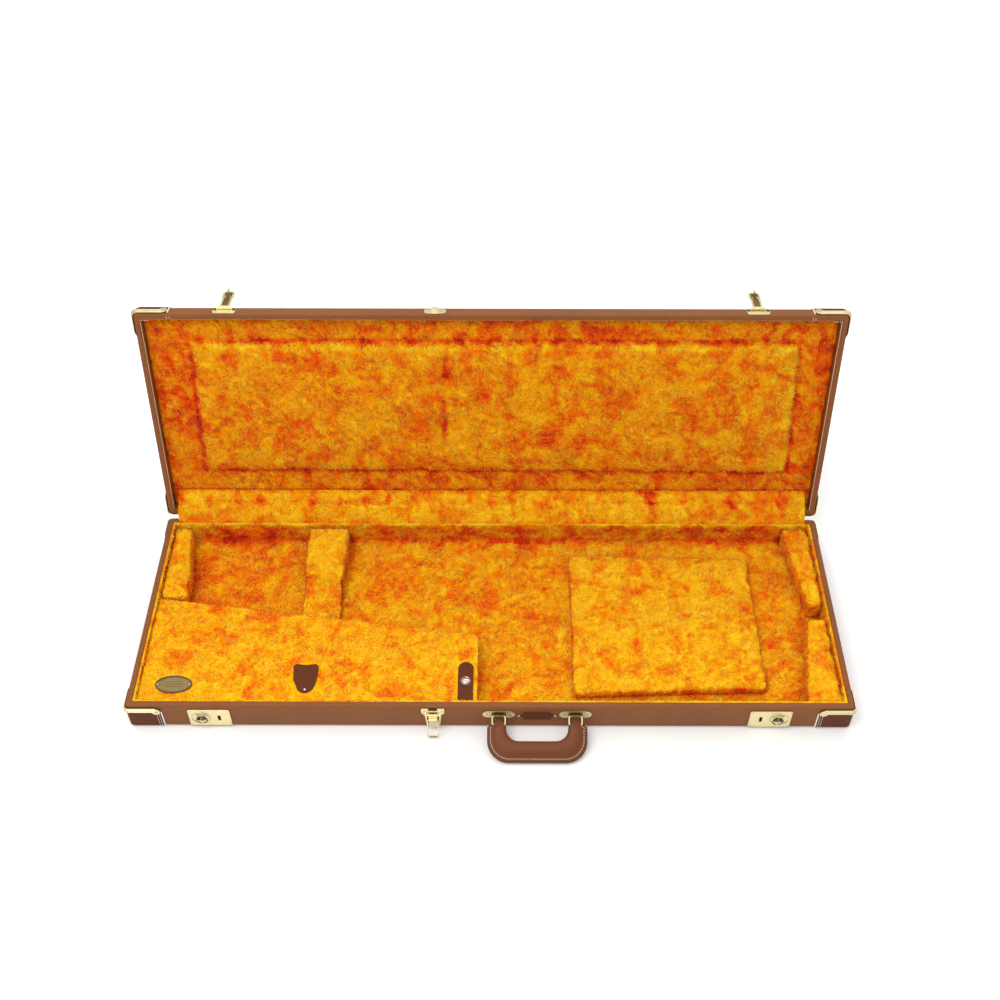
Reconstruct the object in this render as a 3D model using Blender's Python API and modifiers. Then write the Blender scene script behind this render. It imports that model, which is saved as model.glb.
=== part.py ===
"""A rectangular hardshell case for an electric guitar, lying on its base with the lid open.

X runs along the case, +Y points at the hinges and Z up, in metres. The origin is the centre of the base's
underside. Every piece is drawn with the case closed and latched, and pivots then turn the moving ones to
rest.
"""

import math

import bmesh
import bpy
from mathutils import Matrix, Vector

# The case
LENGTH = 1.070
WIDTH = 0.370
BASE_HEIGHT = 0.0515
LID_HEIGHT = 0.026
WALL = 0.009
PANEL = 0.005
RIM_GAP = 0.0005
GAP = 0.0003
BASE_EDGE_RADIUS = 0.004
LID_EDGE_RADIUS = 0.006
RIM = BASE_HEIGHT
FRONT = -WIDTH / 2
REAR = WIDTH / 2
CLOSED_TOP = BASE_HEIGHT + LID_HEIGHT

# Angles that the moving pieces turn from closed to rest
LID_OPEN = math.radians(101.5)
HASP_OPEN = math.radians(178)
BAIL_OPEN = math.radians(155)
HANDLE_DROP = math.radians(27)

# Plush, all over 3 mm board and pile
LINING = 0.003
INSIDE_X = LENGTH / 2 - WALL - GAP - LINING
INSIDE_Y = WIDTH / 2 - WALL - GAP - LINING
FLOOR = PANEL + GAP + LINING
PAD_BOTTOM = FLOOR + GAP
PAD_TOP = 0.044
PAD_EDGE = 0.004

# Accessory compartment: its lid's slanted hinge edge runs between these two points
EDGE_LEFT = Vector((-0.5215, 0.020))
EDGE_RIGHT = Vector((-0.0190, -0.0485))
BOARD = 0.005
BOARD_TOP = 0.045
BOARD_WALL = 0.006

# Corner patches: their reach along X and Y, and how deep the base is cut to seat them
PATCH_REACH = (0.050, 0.038)
PATCH_SEAT = 0.0003

# Hardware
SHEET = 0.0012
PIN_RADIUS = 0.0012
BORE_RADIUS = 0.0015
KNUCKLE_RADIUS = 0.003
HINGE_X = (-0.36, 0.0, 0.36)
HINGE_Y = REAR + 0.004
HINGE_WIDTH = 0.050
LOCK_X = 0.400
LOCK_Z = 0.023
KNOB_OFFSET = 0.025
KNOB_TRAVEL = 0.004
HASP_Z = 0.0665
HASP_Y = FRONT - 0.0038
LATCH_X = -0.084
LEVER_Z = 0.0355
LEVER_Y = FRONT - 0.0048
BAIL_Z = 0.0285
BAIL_Y = FRONT - 0.0078
BAIL_LENGTH = 0.0285
BAIL_HALF = 0.0078
BAIL_WIRE = 0.0009
HANDLE_X = 0.0695
SIDES = (("left", -1), ("right", 1))
LOOP_X = 0.0565
LOOP_HALF = 0.0095
LOOP_WIRE = 0.0012
LOOP_LENGTH = 0.012
HANDLE_Z = 0.034
HANDLE_Y = FRONT - 0.0046

for old in list(bpy.data.objects):
    bpy.data.objects.remove(old)
case = bpy.data.collections.new("guitar_case")
cutters = bpy.data.collections.new("cutters")
bpy.context.scene.collection.children.link(case)
bpy.context.scene.collection.children.link(cutters)

home = {}


def material(name, colour, roughness, metallic=0.0):
    made = bpy.data.materials.new(name)
    made.use_nodes = True
    shader = made.node_tree.nodes["Principled BSDF"]
    shader.inputs["Base Color"].default_value = (*colour, 1.0)
    shader.inputs["Roughness"].default_value = roughness
    shader.inputs["Metallic"].default_value = metallic
    return made


VINYL = material("brown_vinyl", (0.25, 0.10, 0.045), 0.55)
PLUSH = material("gold_plush", (0.90, 0.36, 0.01), 0.95)
LEATHER = material("dark_leather", (0.14, 0.04, 0.012), 0.5)
GRIP_LEATHER = material("grip_leather", (0.26, 0.08, 0.025), 0.45)
BRASS = material("pale_brass", (0.75, 0.62, 0.33), 0.25, 1.0)
NICKEL = material("nickel", (0.75, 0.72, 0.68), 0.2, 1.0)


def pivot(name, point, turn=0.0, parent=None):
    """An empty on a joint's axis. It is placed for the closed case, then turned about X to rest."""
    empty = bpy.data.objects.new(name, None)
    case.objects.link(empty)
    home[name] = Vector(point)
    if parent:
        empty.parent = bpy.data.objects[parent]
        empty.location = home[name] - home[parent]
    else:
        empty.location = home[name]
    empty.rotation_euler.x = turn
    return name


def put(obj, mat, parent, point=(0, 0, 0)):
    """Puts a new object at a point of the closed case, on a pivot if one is named."""
    obj.location = Vector(point)
    if parent:
        obj.parent = bpy.data.objects[parent]
        obj.location = Vector(point) - home[parent]
    if mat:
        obj.data.materials.append(mat)
        case.objects.link(obj)
    else:
        obj.hide_render = True
        obj.display_type = "WIRE"
        cutters.objects.link(obj)
    return obj


def block(name, low, high, mat=None, parent=None):
    """A box between two corners of the closed case, with its origin at its centre."""
    low, high = Vector(low), Vector(high)
    mesh = bpy.data.meshes.new(name)
    shape = bmesh.new()
    bmesh.ops.create_cube(shape, size=1.0)
    bmesh.ops.scale(shape, vec=high - low, verts=shape.verts)
    shape.to_mesh(mesh)
    shape.free()
    return put(bpy.data.objects.new(name, mesh), mat, parent, (low + high) / 2)


def rod(name, radius, start, end, mat=None, parent=None, sides=16):
    """A cylinder along X between two points of the closed case."""
    start, end = Vector(start), Vector(end)
    mesh = bpy.data.meshes.new(name)
    shape = bmesh.new()
    length = end.x - start.x
    bmesh.ops.create_cone(
        shape, cap_ends=True, segments=sides, radius1=radius, radius2=radius, depth=length
    )
    bmesh.ops.rotate(shape, matrix=Matrix.Rotation(math.pi / 2, 3, "Y"), verts=shape.verts)
    shape.to_mesh(mesh)
    shape.free()
    return put(bpy.data.objects.new(name, mesh), mat, parent, (start + end) / 2)


def mesh_of(obj, weld=1e-5):
    """Turns a curve object into a mesh object of the same name and place, with its caps welded on."""
    bpy.context.view_layer.update()
    graph = bpy.context.evaluated_depsgraph_get()
    mesh = bpy.data.meshes.new_from_object(obj.evaluated_get(graph))
    shape = bmesh.new()
    shape.from_mesh(mesh)
    bmesh.ops.remove_doubles(shape, verts=shape.verts, dist=weld)
    bmesh.ops.recalc_face_normals(shape, faces=shape.faces)
    shape.to_mesh(mesh)
    shape.free()
    curve, name = obj.data, obj.name
    bpy.data.objects.remove(obj)
    bpy.data.curves.remove(curve)
    return bpy.data.objects.new(name, mesh)


def outline(name, points, low, high, mat=None, parent=None, facing="up"):
    """A flat outline between two levels. Facing up its points are X, Y and its levels Z. Facing front
    they are X, Z with levels measured out along -Y. Facing side they are Y, Z with levels along X."""
    curve = bpy.data.curves.new(name, "CURVE")
    curve.dimensions = "2D"
    curve.fill_mode = "BOTH"
    curve.extrude = (high - low) / 2
    spline = curve.splines.new("POLY")
    spline.points.add(len(points) - 1)
    for corner, (across, up) in zip(spline.points, points):
        corner.co = (across, up, 0.0, 1.0)
    spline.use_cyclic_u = True
    flat = bpy.data.objects.new(name, curve)
    bpy.context.scene.collection.objects.link(flat)
    solid = mesh_of(flat)
    solid.data.transform(Matrix.Translation((0, 0, (low + high) / 2)))
    if facing == "front":
        solid.data.transform(Matrix.Rotation(math.pi / 2, 4, "X"))
    if facing == "side":
        solid.data.transform(Matrix(((0, 0, 1, 0), (1, 0, 0, 0), (0, 1, 0, 0), (0, 0, 0, 1))))
    centre = sum((vertex.co for vertex in solid.data.vertices), Vector()) / len(solid.data.vertices)
    solid.data.transform(Matrix.Translation(-centre))
    return put(solid, mat, parent, centre)


def wire(name, points, radius, mat, parent=None, cyclic=False):
    """A round wire through points of the closed case."""
    curve = bpy.data.curves.new(name, "CURVE")
    curve.dimensions = "3D"
    curve.bevel_depth = radius
    curve.bevel_resolution = 2
    curve.use_fill_caps = not cyclic
    spline = curve.splines.new("POLY")
    spline.points.add(len(points) - 1)
    for corner, point in zip(spline.points, points):
        corner.co = (*point, 1.0)
    spline.use_cyclic_u = cyclic
    bent = bpy.data.objects.new(name, curve)
    bpy.context.scene.collection.objects.link(bent)
    return put(mesh_of(bent), mat, parent)


def turned(name, profile, mat, point, parent=None, sides=24):
    """A profile of (radius, height) pairs, from its top to its foot, turned about the axis that sticks out
    of the front."""
    mesh = bpy.data.meshes.new(name)
    edges = [(i, i + 1) for i in range(len(profile) - 1)]
    mesh.from_pydata([(radius, 0.0, height) for radius, height in profile], edges, [])
    obj = put(bpy.data.objects.new(name, mesh), mat, parent, point)
    screw = obj.modifiers.new("turn", "SCREW")
    screw.steps = screw.render_steps = sides
    screw.use_merge_vertices = True
    screw.merge_threshold = 0.0001
    screw.use_smooth_shade = True
    return obj


def bevel(obj, width, segments=2, angle=40):
    """Rounds the edges that turn by more than an angle."""
    rounding = obj.modifiers.new("bevel", "BEVEL")
    rounding.width = width
    rounding.segments = segments
    rounding.limit_method = "ANGLE"
    rounding.angle_limit = math.radians(angle)
    return obj


def join(obj, other, operation="UNION"):
    """Adds or takes away another object, which becomes a hidden helper."""
    if other.name in case.objects:
        case.objects.unlink(other)
        cutters.objects.link(other)
        other.hide_render = True
        other.display_type = "WIRE"
    change = obj.modifiers.new(other.name, "BOOLEAN")
    change.operation = operation
    change.solver = "EXACT"
    change.object = other
    return obj


def cut(obj, other):
    return join(obj, other, "DIFFERENCE")


def arc(centre, radius, start, end, steps):
    """Points on a circle from one angle to another, in degrees. A pair of radii makes an ellipse."""
    wide, tall = radius if isinstance(radius, tuple) else (radius, radius)
    angles = [math.radians(start + (end - start) * i / steps) for i in range(steps + 1)]
    return [(centre[0] + wide * math.cos(a), centre[1] + tall * math.sin(a)) for a in angles]


def rounded(low, high, radius, steps=3):
    """The outline of a rectangle with round corners."""
    points = []
    for number, (x, y) in enumerate(((high[0], high[1]), (low[0], high[1]), low, (high[0], low[1]))):
        centre = (x - math.copysign(radius, x - (low[0] + high[0]) / 2),
                  y - math.copysign(radius, y - (low[1] + high[1]) / 2))
        points += arc(centre, radius, 90 * number, 90 * number + 90, steps)
    return points


def shell_block(name, low, high, radius, flat, mat=None, parent=None):
    """A box with round edges, except round its rim, the face whose Z is `flat`."""
    obj = block(name, low, high, mat, parent)
    rim = flat - (low[2] + high[2]) / 2
    shape = bmesh.new()
    shape.from_mesh(obj.data)
    edges = [e for e in shape.edges if max(abs(v.co.z - rim) for v in e.verts) > 1e-6]
    bmesh.ops.bevel(shape, geom=edges, offset=radius, segments=2, profile=0.5, affect="EDGES")
    shape.to_mesh(obj.data)
    shape.free()
    return obj


# Pivots, on the joints' axes
LID = pivot("lid_pivot", (0, HINGE_Y, RIM), -LID_OPEN)
HASPS = {
    side: pivot(f"hasp_{side}_pivot", (sign * LOCK_X, HASP_Y, HASP_Z), -HASP_OPEN, LID)
    for side, sign in SIDES
}
LEVER = pivot("latch_lever_pivot", (LATCH_X, LEVER_Y, LEVER_Z))
BAIL = pivot("latch_bail_pivot", (LATCH_X, BAIL_Y, BAIL_Z), BAIL_OPEN, LEVER)
HANDLE = pivot("handle_pivot", (HANDLE_X, HANDLE_Y, HANDLE_Z), HANDLE_DROP)
BOARD_AXIS = (*EDGE_LEFT, BOARD_TOP + GAP)
COMPARTMENT = pivot("compartment_lid_pivot", BOARD_AXIS)


def shells():
    """The two glued and covered halves. Each is a box with a pocket."""
    half = Vector((LENGTH / 2, WIDTH / 2))
    low, high = (-half.x, -half.y, 0), (half.x, half.y, RIM)
    base = shell_block("base_shell", low, high, BASE_EDGE_RADIUS, RIM, VINYL)
    inner = half - Vector((WALL, WALL))
    cut(base, block("base_pocket", (-inner.x, -inner.y, PANEL), (inner.x, inner.y, RIM + 0.01)))
    for side, sign in SIDES:
        slot_x = sign * LOCK_X
        knob_x = sign * (LOCK_X + KNOB_OFFSET + KNOB_TRAVEL / 2)
        for place, x, wide, tall in (("staple", slot_x, 0.007, 0.016), ("knob", knob_x, 0.012, 0.009)):
            low = (x - wide / 2, FRONT - 0.01, LOCK_Z - tall / 2)
            high = (x + wide / 2, FRONT + 0.005, LOCK_Z + tall / 2)
            cut(base, block(f"{place}_recess_{side}", low, high))
    for side, sign in SIDES:
        for place, way in (("front", -1), ("rear", 1)):
            x = sorted((sign * (half.x - PATCH_REACH[0] - 0.0005), sign * (half.x + 0.02)))
            y = sorted((way * (half.y - PATCH_REACH[1] - 0.0005), way * (half.y + 0.02)))
            cut(base, block(f"patch_seat_{place}_{side}", (x[0], y[0], -0.01), (x[1], y[1], PATCH_SEAT)))
    bottom = RIM + RIM_GAP
    low, high = (-half.x, -half.y, bottom), (half.x, half.y, CLOSED_TOP)
    lid = shell_block("lid_shell", low, high, LID_EDGE_RADIUS, bottom, VINYL, LID)
    low = (-inner.x, -inner.y, RIM - 0.01)
    cut(lid, block("lid_pocket", low, (inner.x, inner.y, CLOSED_TOP - PANEL), parent=LID))


def linings():
    """The plush tray of the base, the lid's lining and pad, and the flap over the hinge line."""
    out_x, out_y = INSIDE_X + LINING, INSIDE_Y + LINING
    tray = block("base_lining", (-out_x, -out_y, PANEL + GAP), (out_x, out_y, RIM - 0.0015), PLUSH)
    cut(tray, block("tray_pocket", (-INSIDE_X, -INSIDE_Y, FLOOR), (INSIDE_X, INSIDE_Y, RIM + 0.01)))
    ceiling = CLOSED_TOP - PANEL - GAP
    block("lid_lining", (-out_x, -out_y, ceiling - LINING), (out_x, out_y, ceiling), PLUSH, LID)
    pad_high = ceiling - LINING - GAP
    pad = block("lid_pad", (-0.463, -0.132, pad_high - 0.009), (0.474, 0.107, pad_high), PLUSH, LID)
    bevel(pad, PAD_EDGE)
    flap = block("hinge_flap", (-0.517, -0.0178, -0.001), (0.517, 0.0178, 0.001), PLUSH)
    flap.parent = bpy.data.objects[LID]
    flap.location = Vector((0, 0.1567, 0.0611)) - home[LID]
    flap.rotation_euler.x = math.radians(-18)


def pads():
    """The blocks under the plush that hold the guitar, between the floor and just under the rim."""
    right, back = INSIDE_X - GAP, INSIDE_Y - GAP
    head = [(-right, back), (-right, 0.024), (-0.478, 0.024), (-0.496, back)]
    bevel(outline("head_end_pad", head, PAD_BOTTOM, PAD_TOP, PLUSH), PAD_EDGE)
    saddle = 0.026
    front = -0.006
    profile = [(back, PAD_BOTTOM), (back, PAD_TOP), (0.075, PAD_TOP), (0.062, saddle), (front, saddle),
               (front, PAD_BOTTOM)]
    bevel(outline("neck_support", profile, -0.300, -0.236, PLUSH, facing="side"), PAD_EDGE)
    body = [(0.124, 0.134), (0.122, -0.146), (0.421, -0.136), (0.421, 0.126)]
    bevel(outline("body_pad", body, PAD_BOTTOM, 0.026, PLUSH), PAD_EDGE)
    rear_end = [(0.478, back), (0.499, 0.012), (right, 0.012), (right, back)]
    bevel(outline("butt_pad_rear", rear_end, PAD_BOTTOM, PAD_TOP, PLUSH), PAD_EDGE)
    front_end = [(0.493, -0.014), (0.470, -back), (right, -back), (right, -0.014)]
    bevel(outline("butt_pad_front", front_end, PAD_BOTTOM, PAD_TOP, PLUSH), PAD_EDGE)


def compartment():
    """The accessory compartment: an L-shaped wall, and a board on top that lifts on its slanted edge."""
    along = (EDGE_RIGHT - EDGE_LEFT).normalized()
    drop = BOARD_WALL / along.x
    back = INSIDE_Y - GAP
    shelf = BOARD_TOP - BOARD - GAP
    inner_x = EDGE_RIGHT.x - BOARD_WALL
    inner_y = EDGE_RIGHT.y - drop - along.y / along.x * BOARD_WALL
    wall = [
        EDGE_LEFT,
        EDGE_RIGHT,
        (EDGE_RIGHT.x, -back),
        (inner_x, -back),
        (inner_x, inner_y),
        (EDGE_LEFT.x, EDGE_LEFT.y - drop),
    ]
    outline("compartment_wall", wall, PAD_BOTTOM, shelf, PLUSH)
    front = -(INSIDE_Y - 0.0008)
    board = [EDGE_LEFT, (EDGE_LEFT.x, front), (EDGE_RIGHT.x, front), EDGE_RIGHT]
    bevel(outline("compartment_lid", board, BOARD_TOP - BOARD, BOARD_TOP, PLUSH, COMPARTMENT), 0.001, 1)
    on_board = BOARD_TOP + GAP
    tab = [(-0.296, -0.110), *arc((-0.290, -0.111), 0.005, 130, 60, 2), (-0.277, -0.108),
           *arc((-0.264, -0.111), 0.005, 120, 50, 2), (-0.258, -0.112), (-0.259, -0.135),
           *arc((-0.275, -0.142), (0.014, 0.016), -10, -170, 8), (-0.294, -0.135)]
    outline("pull_tab", tab, on_board, on_board + 0.0018, LEATHER, COMPARTMENT)
    strap_x, strap_back = -0.0365, -0.113
    half = 0.0115
    strap = [(strap_x + half, front), *arc((strap_x, strap_back), half, 0, 180, 8), (strap_x - half, front)]
    strap_top = on_board + 0.002
    outline("snap_strap", strap, on_board, strap_top, LEATHER, COMPARTMENT)
    stud = [(0, 0.0022), (0.003, 0.002), (0.0052, 0.0012), (0.006, 0), (0, 0)]
    turned("strap_snap", stud, NICKEL, (strap_x, -0.136, strap_top + GAP), COMPARTMENT, 20)
    oval = arc((-0.471, -0.1435), (0.0275, 0.0155), 0, 345, 23)
    outline("badge_plate", oval, on_board, on_board + 0.0015, BRASS, COMPARTMENT)


def lobe(name, radius, point, turn, parent):
    """A short cylinder through a wall, for the round end of a trim's arm."""
    mesh = bpy.data.meshes.new(name)
    shape = bmesh.new()
    bmesh.ops.create_cone(shape, cap_ends=True, segments=16, radius1=radius, radius2=radius, depth=0.02)
    bmesh.ops.rotate(shape, matrix=Matrix.Rotation(math.pi / 2, 3, turn), verts=shape.verts)
    shape.to_mesh(mesh)
    shape.free()
    return put(bpy.data.objects.new(name, mesh), None, parent, point)


def corner(half, end, side):
    """A leather patch round one corner of a half, and a brass trim over the patch along the rim.
    The half is base or lid, the end -1 or 1 along X, and the side -1 or 1 along Y."""
    name = f"{half}_{'front' if side < 0 else 'rear'}_{'left' if end < 0 else 'right'}"
    (reach_x, reach_y), beyond = PATCH_REACH, 0.020
    arm_x, arm_y = LENGTH / 2 - reach_x + 0.006, WIDTH / 2 - reach_y + 0.006
    leather, brass, lobe_radius = 0.0012, 0.0011, 0.0065
    if half == "base":
        parent, low, high, flat, radius = None, 0.0, RIM, RIM, BASE_EDGE_RADIUS
        patch_z = (-0.004, 0.0440)
        strip_z, lobe_z = (0.0375, 0.0470), 0.0393
    else:
        parent, low, high, flat, radius = LID, RIM + RIM_GAP, CLOSED_TOP, RIM + RIM_GAP, LID_EDGE_RADIUS
        patch_z = (0.0560, CLOSED_TOP + 0.004)
        strip_z, lobe_z = (0.0535, 0.0630), 0.0612

    def grown(title, by):
        """The half's outer block grown on every side but its rim."""
        bottom = low - by if half == "base" else low
        top = high if half == "base" else high + by
        lower = (-LENGTH / 2 - by, FRONT - by, bottom)
        upper = (LENGTH / 2 + by, REAR + by, top)
        return shell_block(title, lower, upper, radius + by, flat, None, parent)

    def corner_block(title, inner_x, inner_y, levels, mat):
        x = sorted((end * inner_x, end * (LENGTH / 2 + beyond)))
        y = sorted((side * inner_y, side * (WIDTH / 2 + beyond)))
        return block(title, (x[0], y[0], levels[0]), (x[1], y[1], levels[1]), mat, parent)

    patch = corner_block(f"{name}_patch", LENGTH / 2 - reach_x, WIDTH / 2 - reach_y, patch_z, LEATHER)
    join(patch, grown(f"{name}_patch_outside", GAP + leather), "INTERSECT")
    cut(patch, grown(f"{name}_patch_inside", GAP))

    trim = corner_block(f"{name}_trim", arm_x, arm_y, strip_z, BRASS)
    on_front = (end * arm_x, side * WIDTH / 2, lobe_z)
    on_end = (end * LENGTH / 2, side * arm_y, lobe_z)
    join(trim, lobe(f"{name}_front_lobe", lobe_radius, on_front, "X", parent))
    join(trim, lobe(f"{name}_end_lobe", lobe_radius, on_end, "Y", parent))
    under = GAP + leather + GAP
    join(trim, grown(f"{name}_trim_outside", under + brass), "INTERSECT")
    cut(trim, grown(f"{name}_trim_inside", under))


def hinge(x, name):
    """Two leaves outside the rear wall, with three knuckles between them on one pin."""
    half, middle, side_gap = HINGE_WIDTH / 2, 0.009, 0.0004
    clear = KNUCKLE_RADIUS + 0.0005
    near, far = REAR + GAP, REAR + GAP + SHEET
    tongue_far = far + 0.0006
    axis = (HINGE_Y, RIM)

    def knuckle(title, start, end, parent):
        return rod(title, KNUCKLE_RADIUS, (start, *axis), (end, *axis), None, parent)

    def bore(title, parent):
        return rod(title, BORE_RADIUS, (x - half - 0.01, *axis), (x + half + 0.01, *axis), None, parent)

    shape = rounded((x - half, RIM - 0.030), (x + half, RIM - clear), 0.003)
    leaf = outline(f"{name}_base_leaf", shape, -far, -near, BRASS, facing="front")
    tongues = [(x - half, x - middle - side_gap), (x + middle + side_gap, x + half)]
    for number, (start, end) in enumerate(tongues):
        low, high = (start, near, RIM - clear - 0.004), (end, tongue_far, RIM)
        join(leaf, block(f"{name}_base_tongue_{number}", low, high))
        join(leaf, knuckle(f"{name}_base_knuckle_{number}", start, end, None))
    cut(leaf, bore(f"{name}_base_bore", None))

    shape = rounded((x - half, RIM + clear), (x + half, RIM + 0.022), 0.003)
    leaf = outline(f"{name}_lid_leaf", shape, -far, -near, BRASS, LID, "front")
    low, high = (x - middle, near, RIM), (x + middle, tongue_far, RIM + clear + 0.004)
    join(leaf, block(f"{name}_lid_tongue", low, high, None, LID))
    join(leaf, knuckle(f"{name}_lid_knuckle", x - middle, x + middle, LID))
    cut(leaf, bore(f"{name}_lid_bore", LID))
    rod(f"{name}_pin", PIN_RADIUS, (x - half, *axis), (x + half, *axis), BRASS)


def lock(side, sign):
    """A plate with a slot for the hasp's staple, and a round knob that slides away from it."""
    x, centre = sign * LOCK_X, sign * 0.414
    knob_x = sign * (LOCK_X + KNOB_OFFSET)
    near, far = -FRONT + GAP, -FRONT + GAP + 0.0015
    through = (FRONT - 0.01, FRONT + 0.01)
    shape = rounded((centre - 0.031, 0.0035), (centre + 0.031, 0.0430), 0.002, 2)
    plate = outline(f"lock_plate_{side}", shape, near, far, BRASS, facing="front")
    low, high = (x - 0.0022, through[0], LOCK_Z - 0.006), (x + 0.0022, through[1], LOCK_Z + 0.006)
    cut(plate, block(f"staple_slot_{side}", low, high))
    shank, loose = 0.0018, 0.0005
    ends = sorted((knob_x - sign * (shank + loose), knob_x + sign * (KNOB_TRAVEL + shank + loose)))
    low, high = (ends[0], through[0], LOCK_Z - 0.0022), (ends[1], through[1], LOCK_Z + 0.0022)
    cut(plate, block(f"knob_slot_{side}", low, high))
    face = [(0, 0.0068), (0.004, 0.0066), (0.0075, 0.0058), (0.0098, 0.0040), (0.0105, 0.0030)]
    knob = [*face, (0.0105, 0.0021), (shank, 0.0021), (shank, -0.0030), (0, -0.0030)]
    made = turned(f"lock_knob_{side}", knob, BRASS, (knob_x, FRONT, LOCK_Z))
    made.rotation_euler.x = math.pi / 2


def hasp(side, sign):
    """A plate on the lid's front with a pin between two knuckles, and the flap that swings on it."""
    x = sign * LOCK_X
    on = HASPS[side]
    near, far = -FRONT + GAP, -FRONT + GAP + SHEET
    inner, outer, side_gap = 0.0075, 0.0115, 0.0004
    axis = (HASP_Y, HASP_Z)
    shape = rounded((x - 0.0175, 0.0545), (x + 0.0175, 0.0705), 0.003, 2)
    plate = outline(f"hasp_plate_{side}", shape, near, far, BRASS, LID, "front")
    knuckles = [(x - outer, x - inner - side_gap), (x + inner + side_gap, x + outer)]
    for number, (start, end) in enumerate(knuckles):
        ends = (start, *axis), (end, *axis)
        join(plate, rod(f"hasp_plate_{side}_knuckle_{number}", 0.0026, *ends, None, LID))
    join(plate, rod(f"hasp_plate_{side}_pin", 0.0011, (x - 0.010, *axis), (x + 0.010, *axis), None, LID, 12))
    near, far = HASP_Y + 0.0002, HASP_Y - 0.0014
    wide = 0.0090
    shape = [(x - inner, HASP_Z), (x - inner, 0.040), (x - wide, 0.034), (x - wide, 0.024),
             *arc((x, 0.0225), (0.0085, 0.006), 200, 340, 6),
             (x + wide, 0.024), (x + wide, 0.034), (x + inner, 0.040), (x + inner, HASP_Z)]
    flap = outline(f"hasp_{side}", shape, -near, -far, BRASS, on, "front")
    join(flap, rod(f"hasp_{side}_knuckle", 0.0021, (x - inner, *axis), (x + inner, *axis), None, on))
    low, high = (x - 0.0014, near - 0.0005, LOCK_Z - 0.0045), (x + 0.0014, FRONT + 0.0025, LOCK_Z + 0.0045)
    join(flap, block(f"hasp_{side}_staple", low, high, None, on))
    cut(flap, rod(f"hasp_{side}_bore", 0.0013, (x - 0.02, *axis), (x + 0.02, *axis), None, on, 12))


def draw_latch():
    """A plate with two cheeks, a lever that swings up from it, a wire bail on the lever, and the keeper that
    the bail hooks over."""
    x = LATCH_X
    near, far = -FRONT + GAP, -FRONT + GAP + SHEET
    shape = [(-0.0170, 0.0475), (-0.0065, 0.0475), (-0.0065, 0.0425), (0.0065, 0.0425), (0.0065, 0.0475),
             (0.0170, 0.0475), (0.0170, 0.0365), (0.0125, 0.0320), (0.0100, 0.0060), (-0.0100, 0.0060),
             (-0.0125, 0.0320), (-0.0170, 0.0365)]
    plate = outline("latch_plate", [(x + a, z) for a, z in shape[::-1]], near, far, BRASS, facing="front")
    axis = (LEVER_Y, LEVER_Z)
    for side, sign in SIDES:
        ends = sorted((x + sign * 0.0098, x + sign * 0.0110))
        low = (ends[0], LEVER_Y - 0.0025, LEVER_Z - 0.004)
        high = (ends[1], FRONT - 0.0005, LEVER_Z + 0.004)
        join(plate, block(f"latch_cheek_{side}", low, high))
    join(plate, rod("latch_plate_pin", 0.0010, (x - 0.0105, *axis), (x + 0.0105, *axis), sides=12))
    inner = 0.0058
    thick = (LEVER_Y - 0.0016, LEVER_Y - 0.0002)
    lever = block("latch_lever", (x - inner, thick[0], 0.0075), (x + inner, thick[1], LEVER_Z), BRASS, LEVER)
    join(lever, rod("latch_lever_barrel", 0.0024, (x - inner, *axis), (x + inner, *axis), None, LEVER))
    hook_axis = (BAIL_Y, BAIL_Z)
    join(lever, rod("latch_lever_lug", 0.0022, (x - inner, *hook_axis), (x + inner, *hook_axis), None, LEVER))
    cut(lever, rod("latch_lever_bore", 0.0013, (x - 0.02, *axis), (x + 0.02, *axis), None, LEVER, 12))
    start, end = (x - 0.02, *hook_axis), (x + 0.02, *hook_axis)
    cut(lever, rod("latch_bail_bore", 0.0013, start, end, None, LEVER, 12))
    top, bend = BAIL_Z + BAIL_LENGTH, 0.002
    path = [(0.0035, BAIL_Z), *arc((BAIL_HALF - bend, BAIL_Z + bend), bend, -90, 0, 3),
            *arc((BAIL_HALF - bend, top - bend), bend, 0, 90, 3)]
    path += [(-a, z) for a, z in path[::-1]]
    wire("latch_bail", [(x + a, BAIL_Y, z) for a, z in path], BAIL_WIRE, BRASS, BAIL)
    shape = rounded((x - 0.0165, 0.0550), (x + 0.0165, 0.0680), 0.004, 2)
    keeper = outline("latch_keeper", shape, near, far, BRASS, LID, "front")
    under_bail = top - BAIL_WIRE - 0.0004
    hook = BAIL_Y - BAIL_WIRE - 0.0005
    low = (x - 0.005, hook - 0.001, 0.0541)
    join(keeper, block("keeper_lip", low, (x + 0.005, -near - 0.0002, under_bail), None, LID))
    join(keeper, block("keeper_hook", low, (x + 0.005, hook, top + 0.0006), None, LID))


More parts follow.
